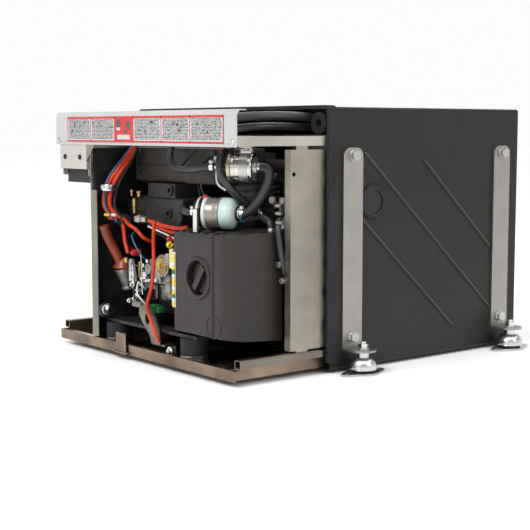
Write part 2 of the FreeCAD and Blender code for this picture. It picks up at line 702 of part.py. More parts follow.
def make_label_panel():
    """The front's top panel: upright, leaning back along its top, with a folded flange."""
    lean, fold = 4, 16
    upright = box("panel_face", ("2*panel_half", "thin_sheet", "panel_bend - panel_low"),
                  ("-panel_half", "0", "panel_low"))
    thick = size("thin_sheet")
    low, high = size("panel_bend"), size("panel_top")
    outline = [(0, low), (lean, high), (lean + thick, high), (lean + thick, high - thick), (thick, low)]
    leaning = body_of_outline("panel_lean", "YZ_Plane", outline, "2*panel_half", midplane=True)
    flange = box("panel_flange", ("2*panel_half - 10", str(fold), "thin_sheet"),
                 ("5 - panel_half", str(lean), "panel_top - thin_sheet"))
    holes = [rod(f"panel_hole_{i}", "3", "20", (x, lean + 9, "panel_top - 10")) for i,
             x in enumerate((-168, 0, 168))]
    screws = [rod(f"panel_screw_hole_{i}", "2", "20", (x, "-10", "313"), "y") for i,
              x in enumerate((-221, 221))]
    publish("label_panel", cut("label_panel", fuse("panel_full", upright, leaning, flange), *holes, *screws),
            DRAWER)
    plate = box("label_sheet", ("394", "0.6", "36.8"), ("-192", "-0.6", "311.5"))
    publish("label_plate", plate, DRAWER)


def make_screws():
    """Pan-head screws of the label panel and of the junction box."""
    places = [(-221, 313, -0.01), (221, 313, -0.01), (-206, 288, 1.99), (-162, 288, 1.99)]
    screws = []
    for i, (x, z, face) in enumerate(places):
        head = rod(f"screw_head_{i}", "4", "2.4", (x, face - 2.4, z), "y")
        shank = rod(f"screw_shank_{i}", "2", "6", (x, face - 1, z), "y")
        screws.append(fuse(f"screw_{i}", head, shank))
    publish("panel_screws", group("panel_screws", *screws), DRAWER)


def make_divider():
    """An upright sheet with a gusset that parts the engine bay from the left bay, and its foam lining."""
    left = "-divider_x"
    wall = box("divider_wall", ("thin_sheet", "tray_depth - 2*thin_sheet", "frame_low - tray_low - sheet"),
               (left, "thin_sheet", "tray_low + sheet"))
    flange = box("divider_fold", ("divider_flange", "thin_sheet", "divider_flange_top - tray_side"),
                 (left, "thin_sheet", "tray_side"))
    shaft = rod("divider_shaft", "20", "60", ("-divider_x - 20", "shaft_depth", "shaft_height"), "x")
    outline = [(-143, 307), (-118, 307), (-143, 282)]
    gusset = body_of_outline("gusset", "XZ_Plane", outline, "thin_sheet", offset="-2*thin_sheet")
    notch = box("divider_notch", ("10", "lip_return", "tray_side"), ("-divider_x - 4", "0", "0"))
    publish("divider", cut("divider", fuse("divider_full", wall, flange, gusset), shaft, notch), DRAWER)
    foam = box("lining_block", ("lining_thick", "tray_depth - 12", "280"),
               ("-divider_x + thin_sheet", "6", "22"))
    shaft = rod("lining_shaft", "20", "60", ("-divider_x - 20", "shaft_depth", "shaft_height"), "x")
    publish("divider_lining", cut("divider_lining", foam, shaft), DRAWER)


def make_side_panel():
    """The drawer's right wall, with tabs onto the rails and a folded front edge."""
    face = "side_panel_face - thin_sheet"
    wall = box("panel_wall", ("thin_sheet", "tray_depth - thin_sheet - side_panel_front",
                              "side_panel_top - side_panel_low"),
               (face, "side_panel_front", "side_panel_low"))
    fold = box("panel_fold", ("12", "thin_sheet", "side_panel_top - side_panel_low"),
               ("side_panel_face - 12", "side_panel_front", "side_panel_low"))
    tabs = []
    for i, y in enumerate((104, 220, 340)):
        tabs.append(box(f"tab_low_{i}", ("thin_sheet", "20", "side_panel_low - rail_top"),
                        (face, y, "rail_top")))
        tabs.append(box(f"tab_high_{i}", ("thin_sheet", "20", "frame_low - side_panel_top"),
                        (face, y, "side_panel_top")))
    hole = rod("panel_spy_hole", "3", "10", ("side_panel_face - 5", "side_panel_front + 5.6", "270.5"), "x")
    publish("side_panel", cut("side_panel", fuse("side_full", wall, fold, *tabs), hole), DRAWER)


def make_junction_box():
    """A sheet cover with a step, over a black terminal block."""
    outer = box("junction_outer", ("78", "58", "48"), ("-221", "2", "260"))
    step = box("junction_step", ("90", "20", "12"), ("-225", "-14", "258"))
    inner = box("junction_inner", ("75", "60", "56.5"), ("-219.5", "3.5", "250"))
    publish("junction_cover", cut("junction_cover", outer, step, inner), DRAWER)
    block = box("terminal_brick", ("70", "40", "49"), ("-216", "12", "249"))
    publish("terminal_block", block, DRAWER)


def make_front_latch():
    """A hinged latch plate in front of the tray's lip."""
    plate = box("latch_plate", ("latch_width", "1.6", "29"), ("latch_left", "-latch_front - 0.8",
                                                              "latch_height"))
    eye = rod("latch_eye", "latch_knuckle", "latch_width", ("latch_left", "-latch_front", "latch_height"),
              "x")
    bore = rod("latch_bore", "latch_pin + running_gap", "60",
               ("latch_left - 10", "-latch_front", "latch_height"), "x")
    publish("front_latch", cut("front_latch", fuse("latch_full", plate, eye), bore), DRAWER)


# ---------------------------------------------------------------- engine and alternator


def make_engine_mounts():
    """Four rubber mounts with plated seats, and the cradle that they carry."""
    rubbers, seats = [], []
    for i, (x, y) in enumerate(((97, 28), (-97, 28), (97, 330), (-97, 330))):
        rubbers.append(rod(f"mount_rubber_{i}", "20", "24", (x, y, "19"), "z"))
        seats.append(cone(f"mount_seat_{i}", 22, 17, 19 - 5.5, (x, y, "tray_low + sheet")))
    publish("engine_mounts", group("engine_mounts", *rubbers), DRAWER)
    publish("mount_seats", group("mount_seats", *seats), DRAWER)
    bars = [box(f"cradle_cross_{i}", ("234", "24", "5"), ("-117", y, "43")) for i, y in enumerate((16, 318))]
    bars += [box(f"cradle_long_{i}", ("25", "290", "5"), (x, "28", "43")) for i, x in enumerate((-95, 30))]
    publish("engine_cradle", fuse("engine_cradle", *bars), DRAWER)


def make_crankcase():
    """The crankcase with its crank chamber, shaft bores and cylinder seat."""
    block = box("crank_block", ("158", "170", "142"), ("-100", "130", "48"))
    rounded = fillet("crank_round", block, 14, lambda edge: runs_along(edge, "x"))
    boss = rod("crank_boss", "58", "171", ("-107", "shaft_depth", "shaft_height"), "x")
    chamber = rod("crank_chamber", "45", "120", ("-80", "shaft_depth", "shaft_height"), "x")
    bore = rod("crank_bore", "shaft_radius + running_gap", "400", ("-200", "shaft_depth", "shaft_height"),
               "x")
    barrel = rod("crank_barrel", "33", "100", ("-20", "shaft_depth", "shaft_height"))
    publish("crankcase", cut("crankcase", fuse("crank_full", rounded, boss), chamber, bore, barrel), DRAWER)


def make_cylinder():
    """The finned cylinder, its head and the piston at half stroke."""
    x, y = -20, "shaft_depth"
    sleeve = rod("sleeve", "39", "60", (x, y, "190"))
    fins = [rod(f"fin_{i}", "48", "2.5", (x, y, 194 + 8 * i)) for i in range(7)]
    bore = rod("sleeve_bore", "33", "100", (x, y, "180"))
    publish("cylinder", cut("cylinder", fuse("cylinder_full", sleeve, *fins), bore), DRAWER)
    head = box("head_block", ("84", "84", "22"), (x - 42, f"{y} - 42", "250"))
    cover = box("valve_cover", ("60", "66", "22"), (x - 30, f"{y} - 33", "272"))
    soft = fillet("valve_cover_round", cover, 8, lambda edge: runs_along(edge, "z"))
    fins = [box(f"head_fin_{i}", ("96", "96", "2.5"), (x - 48, f"{y} - 48", 252 + 7 * i)) for i in range(3)]
    plug = rod("spark_plug", "7", "34", (x + 42, y, "262"), "x")
    publish("cylinder_head", fuse("cylinder_head", head, soft, *fins, plug), DRAWER)
    crown = rod("piston_crown", "33 - running_gap", "40", (x, y, "165"))
    hollow = rod("piston_hollow", "28", "32", (x, y, "160"))
    pin = rod("piston_pin", "8", "62", (x - 31, y, "180"), "x")
    publish("piston", fuse("piston", cut("piston_cup", crown, hollow), pin), DRAWER)


def make_crankshaft():
    """Everything that turns: shaft, crank webs and pin, fan wheel and alternator rotor."""
    y, z = "shaft_depth", "shaft_height"
    pieces = [
        rod("shaft_left", "shaft_radius", "172", ("-205", y, z), "x"),
        rod("shaft_right", "shaft_radius", "146", ("-8", y, z), "x"),
        rod("web_left", "42", "12", ("-45", y, z), "x"),
        rod("web_right", "42", "12", ("-8", y, z), "x"),
        rod("crank_pin", "9", "30", ("-36", f"{y} - 25", z), "x"),
        rod("rotor_disc", "56", "40", ("-198", y, z), "x"),
        rod("fan_hub", "30", "34", ("72", y, z), "x"),
        rod("fan_disc", "72", "4", ("72", y, z), "x"),
    ]
    for i in range(12):
        blade = box(f"blade_{i}", ("26", "44", "3"), ("0", "26", "-1.5"))
        turn = FreeCAD.Placement(V(), TURN(V(1, 0, 0), 30 * i))
        moved = doc.addObject("Part::Compound", f"blade_turned_{i}")
        moved.Links = [blade]
        moved.Placement = turn
        pieces.append(settle(moved, ("74", y, z)))
    publish("crankshaft", fuse("crankshaft", *pieces), DRAWER)


def make_fan_housing():
    """The fan's housing on the crankcase's right side, with an air inlet."""
    y, z = "shaft_depth", "shaft_height"
    drum = rod("fan_drum", "82", "62", ("64", y, z), "x")
    inside = rod("fan_inside", "79", "57", ("66.5", y, z), "x")
    inlet = rod("fan_inlet", "42", "20", ("115", y, z), "x")
    hub = rod("fan_hub_hole", "34", "20", ("55", y, z), "x")
    publish("fan_housing", cut("fan_housing", drum, inside, inlet, hub), DRAWER)


def make_alternator():
    """The alternator's drum housing, its wound stator and the inverter above it."""
    y, z = "shaft_depth", "shaft_height"
    drum = rod("drum", "84", "74", ("-211", y, z), "x")
    inside = rod("drum_inside", "79", "69", ("-208.5", y, z), "x")
    hole = rod("drum_hole", "16", "40", ("-150", y, z), "x")
    slots = []
    for i in range(8):
        angle = math.pi * i / 4
        around = (f"{y} + {58 * math.cos(angle):.3f}", f"{z} + {58 * math.sin(angle):.3f}")
        slots.append(rod(f"drum_slot_{i}", "9", "10", ("-215", *around), "x"))
    publish("alternator_housing", cut("alternator_housing", drum, inside, hole, *slots), DRAWER)
    core = rod("stator_core", "79", "36", ("-196", y, z), "x")
    gap = rod("stator_gap", "60", "60", ("-210", y, z), "x")
    publish("stator", cut("stator", core, gap), DRAWER)
    case = box("inverter_case", ("82", "150", "80"), ("-213.5", "200", "212"))
    fins = [box(f"inverter_fin_{i}", ("3", "150", "10"), (-212 + 11 * i, "200", "292")) for i in range(8)]
    publish("inverter", fuse("inverter", case, *fins), DRAWER)


def make_starter():
    """The starter motor in front of the crankcase, with its solenoid."""
    body = rod("starter_body", "27", "92", ("-100", "101", "77"), "x")
    nose = rod("starter_nose", "16", "20", ("-8", "101", "77"), "x")
    solenoid = rod("solenoid", "13", "60", ("-92", "88", "117"), "x")
    saddle = box("starter_saddle", ("40", "26", "22"), ("-80", "88", "92"))
    publish("starter_motor", fuse("starter_motor", body, nose, solenoid, saddle), DRAWER)


def make_ducts():
    """The silencer box, its pipes, and the cooling duct with the coil cover."""
    silencer = box("silencer_box", ("218", "82", "51"), ("-120", "73", "252"))
    publish("silencer", fillet("silencer", silencer, 4, lambda edge: True), DRAWER)
    link = rod("head_pipe", "11", "12", ("-20", "155", "263"), "y")
    tail = shaped("tail_pipe", hose([(70, 155, 276), (70, 195, 276), (84, 250, 274), (92, 300, 250),
                                     (92, 336, 200), (92, 345, 140), (92, 348, 80)], 10))
    publish("exhaust_pipes", group("exhaust_pipes", link, tail), DRAWER)
    duct = box("duct_block", ("142", "69", "43"), ("-120", "60", "188"))
    soft = fillet("duct_round", duct, 5, lambda edge: True)
    coil = box("coil_cover", ("70", "60", "20.5"), ("-64", "60", "230.5"))
    eyes = [rod(f"duct_eye_{i}", "4", "10", (x, "52", z), "y") for i,
            (x, z) in enumerate(((-9, 208), (-5, 242)))]
    rings = [rod(f"duct_ring_{i}", "7", "4", (x, "57", z), "y") for i,
             (x, z) in enumerate(((-9, 208), (-5, 242)))]
    publish("cooling_duct", cut("cooling_duct", fuse("duct_full", soft, coil, *rings), *eyes), DRAWER)


def airbox_outline(inset):
    """The air box's side view, moved inward by a wall's thickness."""
    front, back = size("airbox_front") + inset, size("airbox_back") - inset
    return [(front, 52 + inset), (back, 45 + inset), (back, 194 - inset), (front, 189 - inset)]


def airbox_block(tag, inset):
    """The air box's outer or inner volume with its rounded front corners."""
    outline = airbox_outline(inset)
    body = body_of_outline("airbox_" + tag, "YZ_Plane", outline, f"airbox_right - airbox_left - {2 * inset}",
                           offset=f"airbox_left + {inset}")
    front = size("airbox_front") + inset
    right = size("airbox_right") - inset

    def corner(edge, x):
        ends = [vertex.Point for vertex in edge.Vertexes]
        return all(abs(p.y - front) < 0.01 and abs(p.x - x) < 0.01 for p in ends)

    wide = fillet(f"airbox_{tag}_wide", body, 28 - inset, lambda edge: corner(edge, right))
    left = size("airbox_left") + inset
    return fillet(f"airbox_{tag}_narrow", wide, 12 - inset, lambda edge: corner(edge, left))


def make_air_box():
    """The air box: cover with the knob's well, base, filter element and knob."""
    wall = size("airbox_wall")
    shell = cut("airbox_shell", airbox_block("outer", 0), airbox_block("inner", wall))
    front = box("airbox_fore", ("400", "airbox_split", "400"), ("-100", "0", "0"))
    rear = box("airbox_aft", ("400", "100", "400"), ("-100", "airbox_split", "0"))
    well_at = ("knob_x", "airbox_front", "knob_height")
    well = rod("well_wall", "knob_well + 2", "14", well_at, "y")
    rim = ring("well_rim", "knob_well + 1", "1.6", well_at, "y")
    bowl = rod("well_bowl", "knob_well", "21.5", ("knob_x", "airbox_front - 10", "knob_height"), "y")
    pin_hole = rod("well_pin_hole", "4 + running_gap", "80", ("knob_x", "0", "knob_height"), "y")
    groove = rod("cover_groove", "2.2", "200", ("157", "airbox_front - 0.6", "20"))
    cover = fuse("cover_full", cut("cover_fore", shell, rear), well, rim)
    publish("air_box_cover", cut("air_box_cover", cover, bowl, pin_hole, groove), DRAWER)
    publish("air_box_base", cut("air_box_base", shell, front), DRAWER)
    element = box("filter_element", ("124", "54", "118"), ("68", "42", "62"))
    publish("air_filter", element, DRAWER)
    disc = rod("knob_disc", "knob_radius", "4", ("knob_x", "airbox_front + 7", "knob_height"), "y")
    pin = rod("knob_pin", "4", "18", ("knob_x", "airbox_front + 7", "knob_height"), "y")
    grip = box("knob_grip", ("9", "10", "2*knob_radius - 5"), ("-4.5", "-7", "2.5 - knob_radius"))
    turned = doc.addObject("Part::Compound", "knob_grip_turned")
    turned.Links = [grip]
    turned.Placement = FreeCAD.Placement(V(), TURN(V(0, 1, 0), 35))
    settle(turned, ("knob_x", "airbox_front + 7", "knob_height"))
    publish("air_box_knob", fuse("air_box_knob", disc, pin, turned), DRAWER)


def make_carburettor():
    """The carburettor: body, bowl, throttle cover, choke disc and intake neck."""
    body = box("carb_body", ("56", "60", "44"), ("-26", "34", "104"))
    soft = fillet("carb_round", body, 5, lambda edge: True)
    bowl = rod("carb_bowl", "17", "24", ("4", "56", "82"))
    disc = rod("carb_disc", "12", "12", ("25", "24", "137"), "y")
    neck = rod("carb_neck", "9", "38", ("22", "86", "122"), "x")
    port = rod("carb_port", "11", "38", ("-8", "92", "126"), "y")
    publish("carburettor", fuse("carburettor", soft, bowl, disc, neck, port), DRAWER)


def make_control_bracket():
    """The slotted control plate on its arm, with the post that the lever turns on."""
    outline = [(-34, 104), (-14, 98), (-2, 82), (14, 76), (30, 52), (52, 44), (50, 24), (22, 26), (8, 52),
               (-16, 70), (-38, 88)]
    plate = body_of_outline("control_plate", "XZ_Plane", outline, "2*thin_sheet", offset="-10 - 2*thin_sheet")
    slot = box("control_slot", ("10", "20", "20"), ("13", "0", "52"))
    foot = box("control_foot", ("20", "24", "3"), ("26", "10", "24"))
    seat = box("control_seat", ("20", "3", "21.5"), ("26", "31", "5.5"))
    post = rod("lever_post", "3", "20", ("lever_x", "lever_front - 2", "lever_height"), "y")
    arm = box("lever_arm", ("-lever_x - 30", "3", "8"), ("lever_x", "lever_front + 12", "lever_height - 4"))
    link = box("lever_link", ("6", "lever_front + 5", "8"), ("-36", "10", "lever_height - 4"))
    slotted = cut("control_slotted", plate, slot)
    publish("control_bracket", fuse("control_bracket", slotted, foot, seat, post, arm, link), DRAWER)
    lever = box("lever_plate", ("13", "2", "44"), ("lever_x - 6.5", "lever_front", "lever_height - 6"))
    soft = fillet("lever_round", lever, 6, lambda edge: runs_along(edge, "y"))
    holes = [rod("lever_bore", "3 + running_gap", "10", ("lever_x", "lever_front - 4", "lever_height"), "y")]
    for i, rise in enumerate((11, 21, 31)):
        holes.append(rod(f"lever_hole_{i}", "2.2", "10", ("lever_x", "lever_front - 4",
                                                          f"lever_height + {rise}"), "y"))
    publish("throttle_lever", cut("throttle_lever", soft, *holes), DRAWER)


# ---------------------------------------------------------------- fuel, hoses and wiring


# where the pump's and the filter's middles sit, and how far both axes are swung about the vertical
PUMP = (153.6, 70, 278.5)
FILTER = (120, 58, 215.5)
SWING = 33


def swung(name, made, centre):
    """A piece modelled along X about its own middle, swung about the vertical and moved to its centre."""
    holder = doc.addObject("Part::Compound", name)
    holder.Links = [made]
    holder.Placement = FreeCAD.Placement(V(), TURN(V(0, 0, 1), SWING))
    return settle(holder, centre)


def on_axis(centre, along):
    """A point on the axis of a swung piece, at a distance from its middle."""
    x, y, z = centre
    swing = math.radians(SWING)
    return x + along * math.cos(swing), y + along * math.sin(swing), z


def make_fuel_pump():
    """The electric fuel pump with its nozzles, and the strap that hangs it from the cross bar."""
    pieces = [
        rod("pump_body", "19.3", "31", ("-14", "0", "0"), "x"),
        rod("pump_cap", "20.3", "6", ("-19", "0", "0"), "x"),
        rod("pump_inlet", "3.5", "25", ("-43", "0", "0"), "x"),
        rod("pump_outlet", "3.5", "13", ("16", "0", "0"), "x"),
        rod("pump_nut", "6", "5", ("16", "0", "0"), "x"),
    ]
    publish("fuel_pump", group("fuel_pump", swung("pump_swung", fuse("pump_whole", *pieces), PUMP)), DRAWER)
    band = rod("band_outer", "21", "12", ("-1", "0", "0"), "x")
    tab = box("band_tab", ("12", "3", "29.5"), ("-1", "-1.5", "0"))
    head = box("band_head", ("18", "14", "3"), ("-4", "-7", "26.5"))
    hollow = rod("pump_hollow", "19.3", "30", ("-10", "0", "0"), "x")
    hanger = cut("pump_hanger", fuse("pump_hanger_full", band, tab, head), hollow)
    publish("pump_strap", group("pump_strap", swung("strap_swung", hanger, PUMP)), DRAWER)


def make_fuel_filter():
    """The in-line fuel filter and the clamp that stands it on the air box."""
    pieces = [
        rod("filter_base", "19", "14", ("-36", "0", "0"), "x"),
        rod("filter_ring", "22.4", "6", ("-23", "0", "0"), "x"),
        rod("filter_can", "21.4", "20", ("-18", "0", "0"), "x"),
        rod("filter_cap", "21.8", "18", ("2", "0", "0"), "x"),
        cone("filter_crown", 21.8, 18.5, "2.6", ("20", "0", "0"), "x"),
        rod("filter_inlet", "4", "12", ("-47", "0", "0"), "x"),
        rod("filter_outlet", "4", "12", ("22", "0", "0"), "x"),
    ]
    publish("fuel_filter", group("fuel_filter", swung("filter_swung", fuse("filter_whole", *pieces),
                                                      FILTER)), DRAWER)
    band = rod("filter_band", "21.5", "8", ("-33", "0", "0"), "x")
    leg = box("filter_leg", ("8", "2.5", "32"), ("-33", "-23.5", "-24.6"))
    foot = box("filter_foot", ("8", "14", "2.2"), ("-33", "-23.5", "-24.8"))
    hollow = rod("filter_hollow", "19", "30", ("-40", "0", "0"), "x")
    stand = cut("filter_stand", fuse("filter_stand_full", band, leg, foot), hollow)
    publish("filter_clamp", group("filter_clamp", swung("stand_swung", stand, FILTER)), DRAWER)


# radius and route of each hose and lead, from one held end to the other
ENGINE_HOSES = {
    "feed": (5, [on_axis(PUMP, -41), on_axis(PUMP, -53), (96, 38, 276.5), (78, 41, 274), (50, 46, 273),
                 (22, 50, 274),
                 (8, 50, 286), (9, 50, 302), (18, 50, 318), (34, 48, 332), (56, 44, 339)]),
    "pump": (6.5, [on_axis(PUMP, 24), on_axis(PUMP, 40), (188, 92, 260), (179, 89, 245), (165, 84, 229),
                   on_axis(FILTER, 38), on_axis(FILTER, 24)]),
    "filter": (5, [on_axis(FILTER, -38), on_axis(FILTER, -50), (64, 33, 217), (49, 42, 219.5), (36, 54, 212),
                   (26, 56, 198),
                   (18, 56, 184), (10, 58, 170), (8, 62, 158), (8, 62, 148)]),
    "crank": (5, [(105, 92, 330), (105, 90, 312), (112, 78, 300), (126, 54, 298), (134, 44, 288),
                  (135, 43, 274),
                  (139, 48, 260), (144, 60, 245), (143, 80, 232), (150, 95, 219), (165, 96, 208.5),
                  (177, 96, 206),
                  (181, 96, 200), (181, 96, 194)]),
    "drain": (4, [(196, 110, 230), (200, 96, 214), (204, 88, 198), (208, 88, 180), (208, 92, 156),
                  (207, 99, 136),
                  (202, 108, 120)]),
}
SERVICE_HOSES = {
    "supply": (6, [(56, 30, 339), (84, 28, 340), (120, 30, 342), (152, 40, 345), (174, 66, 347),
                   (184, 100, 348), (187, 150, 347),
                   (186, 205, 344), (180, 262, 341), (168, 316, 336), (150, 369, 330)]),
    "return": (5, [(66, 46, 326), (100, 44, 327), (134, 48, 329), (160, 62, 332), (172, 88, 334),
                   (176, 130, 334), (174, 185, 332),
                   (166, 240, 330), (152, 300, 328), (120, 369, 328)]),
}
WIRES = {
    "bundle_link": (3, [(-108, 44, 193), (-96, 38, 190), (-82, 30, 190), (-64, 22, 188), (-42, 20, 174),
                        (-20, 22, 158)]),
    "upright": (2.6, [(13, 17, 197), (17, 15, 165), (18, 14, 132), (14, 14, 102), (8, 6, 78), (26, 5, 56),
                      (40, 6, 32)]),
    "level": (2.6, [(-24, 34, 200), (4, 40, 204), (30, 44, 206), (56, 44, 207)]),
    "level_low": (2.2, [(-24, 40, 195), (4, 42, 198), (28, 42, 196), (52, 48, 199)]),
    "drop": (2.2, [(-104, 42, 186), (-92, 40, 174), (-76, 36, 164), (-68, 34, 156)]),
}
LOOM = (8, [(-104, 62, 300), (-106, 44, 278), (-108, 24, 252), (-109, 16, 228), (-108, 20, 208),
            (-104, 40, 194)])
OIL_TUBE = (7.5, [(-108, 24, 184), (-108, 32, 158), (-108, 43, 122)])


def make_hoses():
    """Hoses of the fuel and breather systems, each whole between its two ends."""
    for label, routes in (("engine_hoses", ENGINE_HOSES), ("service_hoses", SERVICE_HOSES)):
        tubes = [hose(points, radius) for radius, points in routes.values()]
        publish(label, shaped(label, *tubes), DRAWER)
    clamps = []
    for i, (centre, along, bore) in enumerate(((PUMP, -48, 5), (FILTER, -43, 5), (FILTER, 27, 6.5))):
        outer = rod(f"clamp_{i}", bore + 1.4, "4", (along, "0", "0"), "x")
        inner = rod(f"clamp_bore_{i}", bore, "12", (along - 4, "0", "0"), "x")
        clamps.append(swung(f"clamp_swung_{i}", cut(f"hose_clamp_{i}", outer, inner), centre))
    publish("hose_clamps", group("hose_clamps", *clamps), DRAWER)


def make_wiring():
    """The main loom, single leads, their connectors and the oil filler tube."""
    radius, points = LOOM
    publish("wiring_loom", shaped("wiring_loom", hose(points, radius)), DRAWER)
    publish("leads", shaped("leads", *[hose(points, radius) for radius, points in WIRES.values()]), DRAWER)
    radius, points = OIL_TUBE
    neck = Part.makeCone(13, 8, 34, V(-108, 43, 122), V(0, 9, -34))
    flange = Part.makeCone(16, 11, 14, V(-108, 42, 122))
    publish("oil_filler", shaped("oil_filler", hose(points, radius).fuse([neck, flange])), DRAWER)
    blocks = [
        box("plug_silver", ("27", "16", "9"), ("-51", "26", "195")),
        box("plug_green", ("26", "14", "12"), ("-12", "22", "66")),
        rod("cap_red", "6", "16", ("-68", "30", "148"), "y"),
        rod("tube_brass", "3", "24", ("-66", "46", "112")),
        rod("knob_black", "11", "30", ("-112", "8", "60"), "x"),
    ]
    publish("connectors", group("connectors", *blocks), DRAWER)


# ---------------------------------------------------------------- build, check and write

for make in (
    make_case_shell, make_rear_panel, make_side_plug, make_edge_seal, make_corner_ring, make_straps,
    make_strap_fasteners, make_mounts, make_guides, make_rollers, make_tray, make_lower_rails,
             make_upper_frame,
    make_label_panel, make_screws, make_divider, make_side_panel, make_junction_box,
    make_front_latch, make_engine_mounts, make_crankcase, make_cylinder, make_crankshaft, make_fan_housing,
    make_alternator, make_starter, make_ducts, make_air_box, make_carburettor, make_control_bracket,
    make_fuel_pump, make_fuel_filter, make_hoses, make_wiring,
):
    make()

doc.recompute()
for thing in doc.Objects:
    if "Invalid" in thing.State or "Error" in thing.State:
        raise ValueError(f"{thing.Name}: {thing.State}")
for thing in PARTS:
    if thing.Shape.isNull() or not thing.Shape.isValid():
        raise ValueError(f"{thing.Label}: bad shape")

os.makedirs("parts", exist_ok=True)
for thing in PARTS:
    thing.Shape.exportStep(f"parts/{thing.Label}.step")
    bounds = thing.Shape.BoundBox
    print(f"{thing.Label:20} {len(thing.Shape.Solids):3} solids {thing.Shape.Volume / 1000:9.1f} cm3"
          f"  z {bounds.ZMin:7.1f} to {bounds.ZMax:6.1f}")
print(len(PARTS), "sub-parts")
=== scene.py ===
"""Looks of the slide-out vehicle generator set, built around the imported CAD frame.

Every piece is in metres in the row frame.  D(x, y, z) and C(x, y, z) give points in millimetres from
the drawer's front face and from the case's front edge, with z from the underside of the case.
"""

import math
import random

import bmesh
import bpy
from mathutils import Matrix, Vector


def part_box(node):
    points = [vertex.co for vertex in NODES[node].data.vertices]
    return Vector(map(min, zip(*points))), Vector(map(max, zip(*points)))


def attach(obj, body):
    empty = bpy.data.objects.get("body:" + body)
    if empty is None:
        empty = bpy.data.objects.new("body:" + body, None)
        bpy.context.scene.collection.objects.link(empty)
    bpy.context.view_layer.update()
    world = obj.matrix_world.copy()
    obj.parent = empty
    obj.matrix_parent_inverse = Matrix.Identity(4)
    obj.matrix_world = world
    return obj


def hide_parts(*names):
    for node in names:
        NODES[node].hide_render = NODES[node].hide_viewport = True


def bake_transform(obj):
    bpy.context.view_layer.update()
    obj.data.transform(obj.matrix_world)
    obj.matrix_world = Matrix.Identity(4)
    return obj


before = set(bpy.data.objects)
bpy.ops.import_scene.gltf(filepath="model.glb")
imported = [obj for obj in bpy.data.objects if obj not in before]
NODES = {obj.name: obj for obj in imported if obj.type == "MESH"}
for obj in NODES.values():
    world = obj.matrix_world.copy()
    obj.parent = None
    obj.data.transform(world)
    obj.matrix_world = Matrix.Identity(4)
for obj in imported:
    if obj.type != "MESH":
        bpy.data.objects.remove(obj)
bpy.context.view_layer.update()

MM = 0.001
CASE_LOW, CASE_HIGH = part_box("case_shell")
DRAWER_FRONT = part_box("label_panel")[0].y
GAP = CASE_LOW.z
CASE_HALF = (CASE_HIGH.x - CASE_LOW.x) / MM / 2
SHARP_DEGREES = 32
PIECE_EDGE_DEGREES = 35
CAD_EDGE_DEGREES = 38
PLATE_EDGE = 0.25
random.seed(7)


def D(x, y, z):
    """A point of the drawer, in millimetres from its front face and the case's underside."""
    return Vector((x * MM, DRAWER_FRONT + y * MM, GAP + z * MM))


def C(x, y, z):
    """A point of the case, in millimetres from its front edge and underside."""
    return Vector((x * MM, CASE_LOW.y + y * MM, GAP + z * MM))


# ---------------------------------------------------------------- materials


def node_tree(name, colour, roughness, metallic):
    """A material with its Principled shader, and a maker of linked nodes."""
    made = bpy.data.materials.new(name)
    made.use_nodes = True
    tree = made.node_tree
    shader = tree.nodes["Principled BSDF"]
    shader.inputs["Base Color"].default_value = (*colour, 1)
    shader.inputs["Roughness"].default_value = roughness
    shader.inputs["Metallic"].default_value = metallic
    place = tree.nodes.new("ShaderNodeTexCoord")

    def add(kind, **settings):
        node = tree.nodes.new(kind)
        for key, value in settings.items():
            if hasattr(node, key):
                setattr(node, key, value)
            else:
                node.inputs[key.replace("_", " ")].default_value = value
        return node

    return made, tree, shader, place, add


def noise(tree, place, add, scale, stretch=(1, 1, 1), detail=3.0):
    """Noise in object space, stretched along an axis where wanted."""
    mapping = add("ShaderNodeMapping")
    mapping.inputs["Scale"].default_value = stretch
    tree.links.new(place.outputs["Object"], mapping.inputs["Vector"])
    made = add("ShaderNodeTexNoise", Scale=scale, Detail=detail)
    tree.links.new(mapping.outputs["Vector"], made.inputs["Vector"])
    return made.outputs["Fac"]


def spread(tree, add, source, low, high, start=0.35, end=0.65):
    """Maps a factor to a range of plain numbers."""
    made = add("ShaderNodeMapRange")
    for key, value in (("From Min", start), ("From Max", end), ("To Min", low), ("To Max", high)):
        made.inputs[key].default_value = value
    tree.links.new(source, made.inputs["Value"])
    return made.outputs["Result"]


def tint(tree, add, source, dark, light, start=0.3, end=0.7):
    """Maps a factor to a range between two colours."""
    ramp = add("ShaderNodeValToRGB")
    ramp.color_ramp.elements[0].position = start
    ramp.color_ramp.elements[0].color = (*dark, 1)
    ramp.color_ramp.elements[1].position = end
    ramp.color_ramp.elements[1].color = (*light, 1)
    tree.links.new(source, ramp.inputs["Fac"])
    return ramp.outputs["Color"]


def shade(colour, factor):
    """A colour made darker or lighter."""
    return tuple(min(1.0, c * factor) for c in colour)


